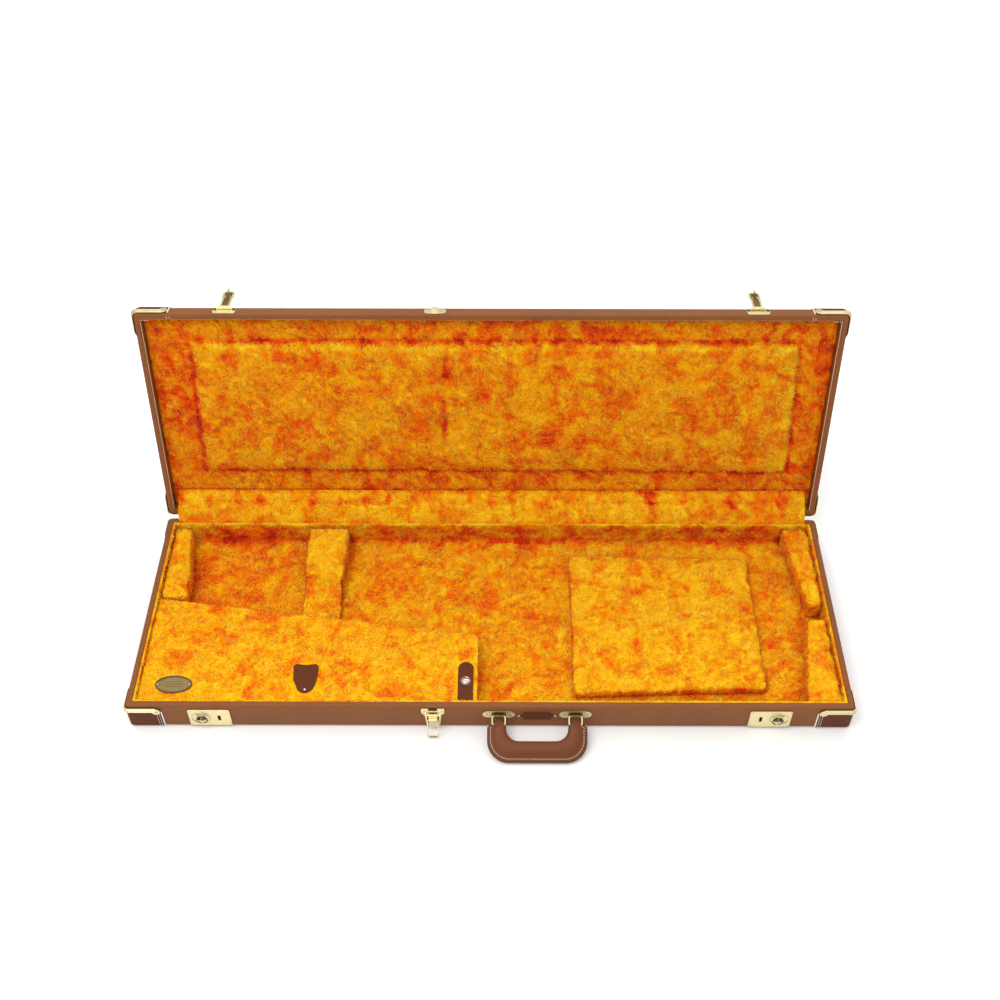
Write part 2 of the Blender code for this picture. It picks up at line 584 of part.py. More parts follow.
def handle():
    """Two oval plates with barrels, two wire loops in them, the leather grip, and a blank name plate."""
    near, far = -FRONT + GAP, -FRONT + GAP + SHEET
    axis = (HANDLE_Y, HANDLE_Z)
    ring_y = HANDLE_Y - LOOP_LENGTH
    start, foot, outer, inner = 0.015, 0.066, 0.072, 0.0455
    top = 0.036
    bottom_corner, inner_corner = 0.030, 0.018
    inside = arc((inner - inner_corner, inner_corner - top), inner_corner, 0, -90, 5)
    outside = arc((outer - bottom_corner, bottom_corner - foot), bottom_corner, 270, 360, 6)
    right = [*outside, (outer, -start), (inner, -start), *inside]
    points = [(HANDLE_X + a, HANDLE_Y + b) for a, b in right + [(-a, b) for a, b in right[::-1]]]
    half = 0.0065
    grip = outline("handle_grip", points, HANDLE_Z - half, HANDLE_Z + half, GRIP_LEATHER, HANDLE)
    bevel(grip, 0.004)
    for side, sign in SIDES:
        x = HANDLE_X + sign * LOOP_X
        oval = arc((x + 0.016, HANDLE_Z), 0.008, -90, 90, 6)
        oval += arc((x - 0.016, HANDLE_Z), 0.008, 90, 270, 6)
        plate = outline(f"handle_plate_{side}", oval, near, far, BRASS, facing="front")
        join(plate, rod(f"handle_plate_{side}_barrel", 0.0033, (x - 0.007, *axis), (x + 0.007, *axis)))
        cut(plate, rod(f"handle_plate_{side}_bore", 0.0016, (x - 0.02, *axis), (x + 0.02, *axis), sides=12))
        bend = 0.002
        ring = rounded((x - LOOP_HALF, ring_y), (x + LOOP_HALF, HANDLE_Y), bend)
        wire(f"handle_loop_{side}", [(a, b, HANDLE_Z) for a, b in ring], LOOP_WIRE, BRASS, HANDLE, True)
        ends = (x - 0.007, ring_y, HANDLE_Z), (x + 0.007, ring_y, HANDLE_Z)
        join(grip, rod(f"grip_barrel_{side}", 0.0036, *ends, None, HANDLE))
        cut(grip, rod(f"grip_bore_{side}", 0.0016, ends[0], ends[1], None, HANDLE, 12))
    half, tall, point = 0.025, 0.009, 0.005
    end = [(half - point, -tall), (half - point, -0.4 * tall), (half, 0), (half - point, 0.4 * tall),
           (half - point, tall)]
    shape = [(HANDLE_X + a, 0.0295 + b) for a, b in end + [(-a, -b) for a, b in end]]
    outline("name_plate", shape, near, near + 0.001, LEATHER, facing="front")


def main():
    shells()
    linings()
    pads()
    compartment()
    for half in ("base", "lid"):
        for end in (-1, 1):
            for side in (-1, 1):
                corner(half, end, side)
    for number, x in enumerate(HINGE_X, start=1):
        hinge(x, f"hinge_{number}")
    for side, sign in SIDES:
        lock(side, sign)
        hasp(side, sign)
    draw_latch()
    handle()


main()
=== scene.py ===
"""The looks of a hardshell guitar case, lying on its base with the lid open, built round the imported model."""

import math

import bmesh
import bpy
import numpy as np
from mathutils import Matrix, Vector, noise


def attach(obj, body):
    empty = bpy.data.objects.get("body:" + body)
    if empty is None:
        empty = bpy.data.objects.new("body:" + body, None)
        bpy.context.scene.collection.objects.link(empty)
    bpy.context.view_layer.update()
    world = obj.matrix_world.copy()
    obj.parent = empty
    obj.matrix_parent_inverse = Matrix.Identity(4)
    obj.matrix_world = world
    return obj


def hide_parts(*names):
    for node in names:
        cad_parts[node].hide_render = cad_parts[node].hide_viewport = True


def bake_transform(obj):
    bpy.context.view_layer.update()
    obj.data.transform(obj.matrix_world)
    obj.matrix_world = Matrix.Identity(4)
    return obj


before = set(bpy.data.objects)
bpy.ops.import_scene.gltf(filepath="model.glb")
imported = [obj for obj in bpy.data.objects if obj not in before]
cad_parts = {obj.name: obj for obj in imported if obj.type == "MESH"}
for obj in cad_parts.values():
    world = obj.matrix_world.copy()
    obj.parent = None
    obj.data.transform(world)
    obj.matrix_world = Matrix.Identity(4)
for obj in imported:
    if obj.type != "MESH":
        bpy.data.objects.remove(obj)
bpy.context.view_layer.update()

# Sizes that part.py also uses, in metres
LENGTH, WIDTH = 1.070, 0.370
FRONT, REAR = -WIDTH / 2, WIDTH / 2
RIM, RIM_GAP = 0.0515, 0.0005
CLOSED_TOP = 0.0775
INSIDE_X, INSIDE_Y, FLOOR = 0.5227, 0.1727, 0.0083
HINGE = Vector((0, 0.189, RIM))
LOCK_X, LOCK_Z, KNOB_OFFSET = 0.400, 0.023, 0.025
LATCH_X = -0.084
HANDLE = Vector((0.0695, -0.1896, 0.034))
LOOP_X = 0.0565
PILE_TOP = 0.0692  # the lid's lining, measured with the case closed
PAD_RISE = 0.0090
BOARD_TOP = 0.045
SIDES = (("left", -1), ("right", 1))


def turn(point, degrees, after=Matrix.Identity(4)):
    """The matrix from the closed case to rest for a piece that turns about X at a point of the closed case."""
    there = Matrix.Translation(point)
    return after @ there @ Matrix.Rotation(math.radians(degrees), 4, "X") @ there.inverted()


STAY = Matrix.Identity(4)
LID = turn(HINGE, -101.5)
HASP = turn((0, FRONT - 0.0038, 0.0665), -178, LID)
GRIP = turn(HANDLE, 27)
BAIL = turn((LATCH_X, FRONT - 0.0078, 0.0285), 155)
rng = np.random.default_rng(7)


# Materials


class Look:
    """A Principled material. add() makes a node, and its values may be numbers or other nodes' outputs."""

    def __init__(self, name, **uniform):
        self.material = bpy.data.materials.new(name)
        self.material.use_nodes = True
        self.tree = self.material.node_tree
        self.shader = self.tree.nodes["Principled BSDF"]
        self.place = self.tree.nodes.new("ShaderNodeTexCoord").outputs["Object"]
        self.fill(self.shader, {key.replace("_", " "): value for key, value in uniform.items()})

    def fill(self, node, values):
        for key, value in values.items():
            if isinstance(value, bpy.types.NodeSocket):
                self.tree.links.new(value, node.inputs[key])
            else:
                node.inputs[key].default_value = value

    def add(self, kind, values, output=0, **settings):
        node = self.tree.nodes.new("ShaderNode" + kind)
        for key, value in settings.items():
            setattr(node, key, value)
        self.fill(node, values)
        return node.outputs[output]

    def noise(self, scale, detail=3.0, rough=0.55, place=None, twist=0.0, output=0):
        values = {"Vector": place or self.place, "Scale": scale, "Detail": detail, "Roughness": rough,
                  "Distortion": twist}
        return self.add("TexNoise", values, output)

    def math(self, operation, a, b=0.0, c=0.0):
        return self.add("Math", {0: a, 1: b, 2: c}, operation=operation)

    def ramp(self, value, *stops):
        node = self.tree.nodes.new("ShaderNodeValToRGB")
        marks = node.color_ramp.elements
        while len(marks) < len(stops):
            marks.new(0.5)
        for mark, (at, colour) in zip(marks, stops):
            mark.position = at
            mark.color = (*colour, 1) if isinstance(colour, tuple) else (colour, colour, colour, 1)
        self.tree.links.new(value, node.inputs["Fac"])
        return node.outputs["Color"]

    def mix(self, share, a, b):
        node = self.tree.nodes.new("ShaderNodeMix")
        node.data_type = "RGBA"
        for socket, value in ((0, share), (6, a), (7, b)):
            if isinstance(value, bpy.types.NodeSocket):
                self.tree.links.new(value, node.inputs[socket])
            else:
                node.inputs[socket].default_value = (*value, 1) if isinstance(value, tuple) else value
        return node.outputs[2]

    def bump(self, height, distance, strength=1.0, after=None):
        values = {"Height": height, "Distance": distance, "Strength": strength}
        if after:
            values["Normal"] = after
        return self.add("Bump", values)

    def wear(self, **linked):
        self.fill(self.shader, {key.replace("_", " "): value for key, value in linked.items()})
        return self.material


def hide(name, colour, dark, grain, depth, rough, specular=0.5):
    """Grained vinyl or leather: pebbles with dark creases between them, rubbed lighter here and there."""
    look = Look(name, Specular_IOR_Level=specular)
    cells = look.add("TexVoronoi", {"Vector": look.place, "Scale": grain, "Randomness": 0.9},
                     feature="SMOOTH_F1")
    crease = look.ramp(cells, (0.25, 0.0), (0.75, 1.0))
    fine = look.noise(grain * 1.7, 4)
    cloud = look.noise(14, 5, 0.6)
    base = look.mix(look.math("MULTIPLY", crease, 0.40), colour, dark)
    worn = look.mix(look.ramp(cloud, (0.35, 0.0), (0.75, 0.45)), base, tuple(1.25 * c for c in colour))
    height = look.math("SUBTRACT", look.math("MULTIPLY", fine, 0.5), crease)
    rough_map = look.math("ADD", look.math("MULTIPLY", cloud, 0.18), rough - 0.09)
    return look.wear(Base_Color=worn, Roughness=rough_map, Normal=look.bump(height, depth, 0.7))


def plush_look(name="gold_plush"):
    """Crushed plush: its pile lies every way. Its colour holds painted light: bright where the pile would catch light
    and deep orange between, from an embossed swirl, the crush of the pile and each piece's painted shade and highlight.
    """
    look = Look(name, Roughness=0.85, Specular_IOR_Level=0.08, Sheen_Weight=0.15, Sheen_Roughness=0.5,
                Sheen_Tint=(1.0, 0.50, 0.05, 1.0))
    relief = look.add("Attribute", {}, 2, attribute_name="relief")
    tip = look.add("Attribute", {}, 2, attribute_name="tip")
    warp = look.add("VectorMath", {0: look.noise(26, 3, 0.6, output=1), 1: (0.5, 0.5, 0.5)},
                    operation="SUBTRACT")
    warp = look.add("VectorMath", {0: warp, "Scale": 0.045}, operation="SCALE")
    bent = look.add("VectorMath", {0: look.place, 1: warp}, operation="ADD")
    shifted = look.add("VectorMath", {0: bent, 1: (0.0035, -0.0025, 0.003)}, operation="ADD")
    # Painted light: the difference of two noises a little apart shades the swirl like a relief lit from one side.
    swirl = look.math("SUBTRACT", look.noise(52, 5, 0.62, bent, 0.6), look.noise(52, 5, 0.62, shifted, 0.6))
    strands = look.noise(420, 4, 0.7, bent, 1.2)
    # Painted light: the raised crush of the pile is painted brighter and its hollows darker.
    value = look.math("MULTIPLY_ADD", relief, 0.20, 0.22)
    value = look.math("MULTIPLY_ADD", swirl, 0.80, value)
    value = look.math("MULTIPLY_ADD", strands, 0.50, value)
    # The tip attribute carries each piece's patches and its painted shade and highlight.
    value = look.math("MULTIPLY_ADD", tip, 0.42, value)
    colour = look.ramp(value, (0.00, (0.48, 0.012, 0.001)), (0.16, (0.72, 0.052, 0.001)),
                       (0.32, (0.80, 0.130, 0.001)), (0.48, (0.81, 0.240, 0.001)), (0.66, (0.82, 0.360, 0.001)),
                       (0.88, (0.89, 0.530, 0.008)))
    height = look.math("MULTIPLY_ADD", look.noise(900, 3, 0.7, bent, 0.8), 0.6, strands)
    return look.wear(Base_Color=colour, Normal=look.bump(height, 0.0012, 0.55))


def metal(name, colour, tarnish, rough, brushed=0.0):
    """Plated or polished metal with fine scratches and a little tarnish."""
    look = Look(name, Metallic=1.0)
    stretched = look.add("VectorMath", {0: look.place, 1: (1.0, 1.0, 14.0 if brushed else 1.0)},
                         operation="MULTIPLY")
    lines = look.noise(500, 4, 0.7, stretched)
    cloud = look.noise(70, 5, 0.65)
    spots = look.ramp(cloud, (0.56, 0.0), (0.78, 0.7))
    colour = look.mix(spots, colour, tarnish)
    rough_map = look.math("MULTIPLY_ADD", lines, 0.22, look.math("MULTIPLY_ADD", cloud, 0.12, rough - 0.15))
    return look.wear(Base_Color=colour, Roughness=rough_map,
                     Normal=look.bump(lines, 0.00005, 0.3 + brushed))


def thread(name, colour):
    look = Look(name, Roughness=0.7, Sheen_Weight=0.2)
    strands = look.noise(2600, 2, 0.6)
    dyed = look.mix(look.ramp(strands, (0.35, 0.0), (0.7, 0.5)), colour, tuple(0.55 * c for c in colour))
    return look.wear(Base_Color=dyed, Normal=look.bump(strands, 0.0002, 0.6))


def dull(name, colour, rough):
    look = Look(name)
    cloud = look.noise(600, 3, 0.6)
    shade = look.mix(cloud, colour, tuple(0.5 * c for c in colour))
    return look.wear(Base_Color=shade, Roughness=look.math("MULTIPLY_ADD", cloud, 0.2, rough - 0.1))


VINYL = hide("brown_vinyl", (0.235, 0.080, 0.021), (0.105, 0.031, 0.008), 620, 0.0006, 0.58, 0.24)
LEATHER = hide("dark_leather", (0.110, 0.026, 0.004), (0.05, 0.011, 0.002), 650, 0.0003, 0.58, 0.18)
TAN = hide("grip_leather", (0.150, 0.040, 0.009), (0.085, 0.021, 0.005), 1000, 0.00015, 0.50, 0.28)
EDGE = hide("burnished_edge", (0.060, 0.018, 0.008), (0.03, 0.009, 0.004), 1200, 0.0001, 0.5)
PLUSH = plush_look()
BRASS = metal("pale_brass", (0.83, 0.72, 0.42), (0.55, 0.40, 0.16), 0.30)
NICKEL = metal("bright_nickel", (0.66, 0.60, 0.52), (0.30, 0.24, 0.18), 0.20)
OLD_GOLD = metal("old_gold", (0.30, 0.22, 0.09), (0.12, 0.08, 0.03), 0.45, 0.4)
CREAM = thread("cream_thread", (0.80, 0.62, 0.42))
WHITE = thread("white_thread", (0.90, 0.86, 0.78))
# A near-black material that paints the shade of slots, holes and gaps.
PAINTED_SHADE = dull("painted_recess_shade", (0.012, 0.009, 0.006), 0.8)
SHADED = metal("shaded_brass", (0.16, 0.115, 0.035), (0.05, 0.035, 0.012), 0.5)
# Plain pile colours, one plush painted from shaded deep red to lit pale yellow; each lock takes one by the painted
# light under it.
PILE = []
for number, colour in enumerate(((0.58, 0.028, 0.001), (0.74, 0.085, 0.001), (0.79, 0.185, 0.001),
                                 (0.82, 0.320, 0.001), (0.88, 0.490, 0.008), (0.96, 0.660, 0.040))):
    lock = Look(f"pile_{number}", Roughness=0.75, Specular_IOR_Level=0.08, Sheen_Weight=0.1)
    lock.shader.inputs["Base Color"].default_value = (*colour, 1)
    PILE.append(lock.material)


# Mesh building


class Build:
    """Collects solids, each a list of points and faces, into one object."""

    def __init__(self):
        self.points, self.faces, self.slots = [], [], []

    def add(self, solid, matrix=STAY, slot=0):
        start = len(self.points)
        points, faces = solid
        self.points += [matrix @ Vector(p) for p in points]
        self.faces += [[start + i for i in face] for face in faces]
        self.slots += [slot] * len(faces)
        return self

    def done(self, name, body, materials, slot_name, matrix=STAY, smooth=35):
        mesh = bpy.data.meshes.new(name)
        mesh.from_pydata([matrix @ p for p in self.points], [], self.faces)
        for material in materials:
            mesh.materials.append(material)
        mesh.polygons.foreach_set("material_index", self.slots)
        return settle(name, mesh, body, smooth)


def settle(name, mesh, body, smooth=35):
    """Turns a mesh into a piece that rides on a body, with soft shading below an angle."""
    shape = bmesh.new()
    shape.from_mesh(mesh)
    bmesh.ops.recalc_face_normals(shape, faces=shape.faces)
    shape.to_mesh(mesh)
    shape.free()
    if smooth:
        mesh.polygons.foreach_set("use_smooth", [True] * len(mesh.polygons))
        mesh.set_sharp_from_angle(angle=math.radians(smooth))
    obj = bpy.data.objects.new(name, mesh)
    bpy.context.scene.collection.objects.link(obj)
    if body:
        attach(obj, body)
    return obj


def loft(rings, caps=True, closed=False):
    """Joins rings of the same number of points, one after another."""
    count = len(rings[0])
    points = [p for ring in rings for p in ring]
    faces = []
    for k in range(len(rings) if closed else len(rings) - 1):
        a, b = k * count, (k + 1) % len(rings) * count
        faces += [[a + i, a + (i + 1) % count, b + (i + 1) % count, b + i] for i in range(count)]
    if caps and not closed:
        faces += [list(range(count))[::-1], list(range(len(points) - count, len(points)))]
    return points, faces


def tube(path, radius, sides=8, closed=False):
    """A round section along a path. The radius may be one number or one for each point."""
    path = [Vector(p) for p in path]
    radii = radius if hasattr(radius, "__len__") else [radius] * len(path)
    rings, side = [], None
    for i, point in enumerate(path):
        before = path[i - 1] if i or closed else point
        after = path[(i + 1) % len(path)] if i + 1 < len(path) or closed else point
        along = (after - before).normalized()
        if side is None:
            side = along.orthogonal().normalized()
        side = (side - along * side.dot(along)).normalized()
        up = along.cross(side)
        angles = [2 * math.pi * k / sides for k in range(sides)]
        rings.append([point + radii[i] * (math.cos(a) * side + math.sin(a) * up) for a in angles])
    return loft(rings, closed=closed)


def turned(profile, steps=24, shape=None):
    """A profile of (radius, height) pairs turned about Z. shape may change a point's height."""
    rings = []
    for radius, height in profile:
        ring = []
        for k in range(steps):
            a = 2 * math.pi * k / steps
            lift = shape(radius, a) if shape else 0.0
            ring.append((radius * math.cos(a), radius * math.sin(a), height + lift))
        rings.append(ring)
    return loft(rings)


def box(low, high, round_by=0.0, steps=2):
    shape = bmesh.new()
    bmesh.ops.create_cube(shape, size=1.0)
    low, high = Vector(low), Vector(high)
    bmesh.ops.scale(shape, vec=high - low, verts=shape.verts)
    bmesh.ops.translate(shape, vec=(low + high) / 2, verts=shape.verts)
    if round_by:
        bmesh.ops.bevel(shape, geom=shape.edges[:], offset=round_by, segments=steps, profile=0.5,
                        affect="EDGES")
    shape.verts.index_update()
    made = [v.co.copy() for v in shape.verts], [[v.index for v in f.verts] for f in shape.faces]
    shape.free()
    return made


def spaced(path, step):
    """Points every so far along a path, with the direction there."""
    path = [Vector(p) for p in path]
    found, left = [], 0.0
    for a, b in zip(path, path[1:]):
        length = (b - a).length
        while left <= length:
            found.append((a.lerp(b, left / length), (b - a).normalized()))
            left += step
        left -= length
    return found


def stitches(path, length=0.0026, gap=0.0016, radius=0.00042):
    """Short capsules end to end along a path."""
    made = Build()
    for point, along in spaced(path, length + gap)[:-1]:
        ends = [point + along * length * s for s in (0.0, 0.12, 0.5, 0.88, 1.0)]
        made.add(tube(ends, [radius * s for s in (0.35, 0.85, 1.0, 0.85, 0.35)], 6))
    return made.points, made.faces


FACING_FRONT = Matrix.Rotation(math.pi / 2, 4, "X")
FACING_REAR = Matrix.Rotation(-math.pi / 2, 4, "X")
DOME = [(0.0001, 1.0), (0.35, 0.96), (0.7, 0.78), (0.93, 0.42), (1.0, 0.0), (1.0, -0.5), (0.0001, -0.5)]


def screw(radius, height, angle):
    """A domed head with its slot painted across it as a dark bar of shade, as two solids."""
    head = turned([(r * radius, h * height) for r, h in DOME], 20)
    slot = box((-radius * 0.86, -radius * 0.12, height * 0.45), (radius * 0.86, radius * 0.12, height * 1.03))
    return head, (slot, Matrix.Rotation(angle, 4, "Z"))


def screws(name, places, radius, body, matrix=STAY, facing=FACING_FRONT, height=0.0008):
    made = Build()
    for number, place in enumerate(places):
        head, (slot, spin) = screw(radius, height, 0.7 + 1.3 * number)
        there = Matrix.Translation(place) @ facing
        made.add(head, there)
        made.add(slot, there @ spin, 1)
    return made.done(name, body, [BRASS, PAINTED_SHADE], "pale_brass", matrix)


def soften(node, material, width=0.00025, steps=2):
    """Gives a CAD node a material and small rounded edges."""
    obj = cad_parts[node]
    obj.data.materials.clear()
    obj.data.materials.append(material)
    weld = obj.modifiers.new("weld", "WELD")
    weld.merge_threshold = 1e-5
    rounding = obj.modifiers.new("edges", "BEVEL")
    rounding.width = width
    rounding.segments = steps
    rounding.limit_method = "ANGLE"
    rounding.angle_limit = math.radians(30)
    rounding.harden_normals = False
    normals = obj.modifiers.new("normals", "WEIGHTED_NORMAL")
    normals.keep_sharp = True
    obj.data.polygons.foreach_set("use_smooth", [True] * len(obj.data.polygons))
    return obj


def cad_mesh(node, matrix=STAY):
    """A copy of a CAD node's mesh, welded, moved back to the closed case."""
    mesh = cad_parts[node].data.copy()
    mesh.transform(matrix.inverted())
    shape = bmesh.new()
    shape.from_mesh(mesh)
    bmesh.ops.remove_doubles(shape, verts=shape.verts, dist=1e-5)
    shape.to_mesh(mesh)
    shape.free()
    mesh.materials.clear()
    return mesh


# Camera, light and floor

camera = bpy.data.objects.new("camera", bpy.data.cameras.new("camera"))
camera.data.lens = 46.186
camera.data.sensor_width = 36
camera.location = (0.01654, -1.23492, 1.63621)
pitch, yaw, roll = math.radians(47.31), math.radians(-0.11), math.radians(0.07)
ahead = Vector((math.sin(yaw) * math.cos(pitch), math.cos(yaw) * math.cos(pitch), -math.sin(pitch)))
across = Vector((math.cos(yaw), -math.sin(yaw), 0))
up = across.cross(ahead)
right = math.cos(roll) * across + math.sin(roll) * up
top = -math.sin(roll) * across + math.cos(roll) * up
camera.rotation_euler = Matrix((right, top, -ahead)).transposed().to_euler()
bpy.context.scene.collection.objects.link(camera)
bpy.context.scene.camera = camera

world = bpy.data.worlds.new("studio")
bpy.context.scene.world = world
world.use_nodes = True
sky = world.node_tree
sky_place, sky_part, sky_ramp = (sky.nodes.new("ShaderNode" + kind) for kind in
                                 ("TexCoord", "SeparateXYZ", "ValToRGB"))
sky.links.new(sky_place.outputs["Generated"], sky_part.inputs[0])
sky.links.new(sky_part.outputs["Z"], sky_ramp.inputs["Fac"])
sky_ramp.color_ramp.elements[0].position, sky_ramp.color_ramp.elements[1].position = 0.05, 0.75
sky_ramp.color_ramp.elements[0].color = (0.30, 0.28, 0.26, 1)
sky_ramp.color_ramp.elements[1].color = (1.25, 1.25, 1.24, 1)
sky.links.new(sky_ramp.outputs["Color"], sky.nodes["Background"].inputs["Color"])
sky.nodes["Background"].inputs["Strength"].default_value = 0.92
bpy.context.scene.view_settings.view_transform = "Standard"


def lamp(name, place, target, size, power, colour=(1, 1, 1)):
    light = bpy.data.lights.new(name, "AREA")
    light.shape = "RECTANGLE"
    light.size, light.size_y = size
    light.energy = power
    light.color = colour
    obj = bpy.data.objects.new(name, light)
    obj.location = place
    obj.rotation_euler = (Vector(target) - Vector(place)).to_track_quat("-Z", "Y").to_euler()
    bpy.context.scene.collection.objects.link(obj)


lamp("key", (-0.7, -0.9, 2.4), (0, 0.05, 0), (1.6, 1.2), 26, (1.0, 0.98, 0.95))
lamp("back", (0.4, 1.9, 2.0), (0, 0.1, 0.1), (2.4, 0.9), 16, (0.95, 0.97, 1.0))

ground = Build().add(([(-6, -6, -0.0016), (6, -6, -0.0016), (6, 6, -0.0016), (-6, 6, -0.0016)], [[0, 1, 2, 3]]))
paper = Look("pale_floor", Roughness=0.9, Specular_IOR_Level=0.1)
speck = paper.mix(paper.noise(3, 2), (0.96, 0.96, 0.96), (0.945, 0.945, 0.945))
floor = ground.done("floor", None, [paper.wear(Base_Color=speck)], "plush", smooth=0)


# Vinyl shells


def shell(node, body, matrix, rim_z, outer, inner):
    """The CAD shell with its rim rounded, as vinyl folded over it would be."""
    mesh = cad_mesh(node, matrix)
    shape = bmesh.new()
    shape.from_mesh(mesh)
    bmesh.ops.dissolve_limit(shape, angle_limit=math.radians(0.5), verts=shape.verts, edges=shape.edges)
    for inset, offset in ((False, outer), (True, inner)):
        edges = []
        for edge in shape.edges:
            level = max(abs(v.co.z - rim_z) for v in edge.verts) < 1e-5
            inside = all(abs(v.co.x) < LENGTH / 2 - 0.007 and abs(v.co.y) < REAR - 0.007 for v in edge.verts)
            bend = len(edge.link_faces) == 2 and edge.calc_face_angle() > 0.5
            if level and bend and inside == inset:
                edges.append(edge)
        bmesh.ops.bevel(shape, geom=edges, offset=offset, segments=4, profile=0.5, affect="EDGES")
    shape.to_mesh(mesh)
    shape.free()
    mesh.transform(matrix)
    mesh.materials.append(VINYL)
    made = settle(node + "_cover", mesh, body, 50)
    made.modifiers.new("normals", "WEIGHTED_NORMAL").keep_sharp = True
    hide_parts(node)
    return made


shell("base_shell", "base", STAY, RIM, 0.0032, 0.0012)
shell("lid_shell", "lid", LID, RIM + RIM_GAP, 0.0028, 0.0012)

# The cut edge of the vinyl that is folded into the lid, just inside its rim
edge_z, inner_x, inner_y = RIM + 0.0026, LENGTH / 2 - 0.0093, REAR - 0.0093
line = [(-inner_x, inner_y, edge_z), (-inner_x, -inner_y, edge_z), (inner_x, -inner_y, edge_z),
        (inner_x, inner_y, edge_z)]
fold = Build()
for a, b in zip(line, line[1:]):
    steps = [Vector(a).lerp(Vector(b), s / 40) for s in range(41)]
    steps = [p + 0.0003 * noise.noise_vector(p * 60) for p in steps]
    fold.add(tube(steps, 0.0006, 6))
for end in (-1, 1):
    for k in range(3):
        start = Vector((end * (inner_x - 0.002 - 0.0042 * k), -REAR + 0.0105, RIM + RIM_GAP + 0.0002))
        fold.add(tube([start, start + Vector((-end * 0.0027, 0, 0))], 0.0005, 6))
    for k in range(2):
        start = Vector((end * (LENGTH / 2 - 0.050 - 0.004 * k), -REAR + 0.0040, RIM + RIM_GAP + 0.0002))
        fold.add(tube([start, start + Vector((0, 0.0040, 0))], 0.0005, 6))
fold.done("lid_vinyl_edge", "lid", [CREAM], "vinyl_over_plywood", LID)


# Corners: patches, piping, stitching and trims

LIFT = 0.0015  # a patch's outer face above the vinyl


def corner_path(half, end, side, inward, lift, rounding=0.004):
    """The line that runs beside a corner patch's edge: up the front or rear face, over and back, and down
    the end face. inward is how far it lies inside the patch, and lift how far outside the vinyl."""
    x, y = LENGTH / 2 - 0.050 + inward, REAR - 0.038 + inward
    out_x, out_y = LENGTH / 2 + lift, REAR + lift
    if half == "base":
        start, face = 0.0362, -min(lift, 0.0004)
    else:
        start, face = RIM + 0.0052, CLOSED_TOP + lift
    away = 1 if half == "lid" else -1
    r = rounding
    bend = [(math.sin(math.radians(a)), math.cos(math.radians(a))) for a in (0, 22.5, 45, 67.5, 90)]
    path = [(x, out_y, start)]
    path += [(x, out_y - r + r * c, face - away * r + away * r * s) for s, c in bend]
    if half == "lid":
        path += [(x, y + 0.004, face), (x + 0.0012, y + 0.0012, face), (x + 0.004, y, face)]
    else:
        path += [(x, out_y - 0.010, face)]
        path = [path]
        path.append([(out_x - 0.010, y, face)])
    tail = [(out_x - r + r * s, y, face - away * r + away * r * c) for s, c in bend]
    tail.append((out_x, y, start))
    if half == "lid":
        paths = [path + tail]
    else:
        paths = [path[0], path[1] + tail]
    return [[(end * px, side * py, pz) for px, py, pz in one] for one in paths]


TRIM_LIFT = 0.0029


def trim_path(end, side, z, lift, reach=0.0):
    arm_x, arm_y = LENGTH / 2 - 0.044 - reach, REAR - 0.032 - reach
    r = 0.005
    x, y = LENGTH / 2 + lift, REAR + lift
    turn_at = [math.radians(a) for a in (0, 22.5, 45, 67.5, 90)]
    path = [(arm_x, y, z)] + [(x - r + r * math.sin(a), y - r + r * math.cos(a), z) for a in turn_at]
    return [(end * px, side * py, pz) for px, py, pz in path + [(x, arm_y, z)]]


for half, matrix, body in (("base", STAY, "base"), ("lid", LID, "lid")):
    for end_name, end in (("left", -1), ("right", 1)):
        for side_name, side in (("front", -1), ("rear", 1)):
            name = f"{half}_{side_name}_{end_name}"
            soften(f"{name}_patch", LEATHER, 0.0004)
            soften(f"{name}_trim", BRASS, 0.0004)
            cord = Build()
            for path in corner_path(half, end, side, -0.0011, 0.0006):
                cord.add(tube(path, 0.0011, 8))
            cord.done(f"{name}_piping", body, [WHITE], "dark_leather", matrix)
            rows = Build()
            for inward in (0.0024, 0.0058):
                for path in corner_path(half, end, side, inward, LIFT + 0.0001):
                    rows.add(stitches(path))
            rows.done(f"{name}_stitching", body, [WHITE], "dark_leather", matrix)
            levels = (0.0399, 0.0447) if half == "base" else (0.0559, 0.0607)
            rivet_z = 0.0393 if half == "base" else 0.0612
            metalwork = Build()
            for z in levels:
                metalwork.add(tube(trim_path(end, side, z, TRIM_LIFT, -0.001), 0.0008, 8))
            rivet = turned([(0.0001, 0.0002), (0.0013, 0.0002), (0.0016, 0.0011), (0.0024, 0.0012), (0.0029, 0.0004),
                            (0.0029, -0.0006), (0.0001, -0.0006)], 20)
            # The rivet's hole is a dark disc on its top: painted shade.
            hole = turned([(0.0001, 0.0004), (0.0013, 0.0003), (0.0013, 0.0001), (0.0001, 0.0001)], 16)
            arm_x, arm_y = LENGTH / 2 - 0.044, REAR - 0.032
            on_face = Matrix.Translation((end * arm_x, side * (REAR + TRIM_LIFT), rivet_z))
            on_face = on_face @ (FACING_FRONT if side < 0 else FACING_REAR)
            on_end = Matrix.Translation((end * (LENGTH / 2 + TRIM_LIFT), side * arm_y, rivet_z))
            for there in (on_face, on_end @ Matrix.Rotation(end * math.pi / 2, 4, "Y")):
                metalwork.add(rivet, there)
                metalwork.add(hole, there, 1)
            metalwork.done(f"{name}_rivets", body, [BRASS, PAINTED_SHADE], "pale_brass", matrix)


# Locks, hasps, draw latch and hinges


def knob_shape(radius, angle):
    """Eight lobes round the rim, and a cross of ridges on the face."""
    rim = max(0.0, 1 - abs(radius - 0.0085) / 0.0028)
    cross = max(0.0, 1 - abs(radius - 0.0048) / 0.0036)
    return 0.0007 * rim * math.cos(8 * angle) + 0.0011 * cross * math.cos(4 * angle)


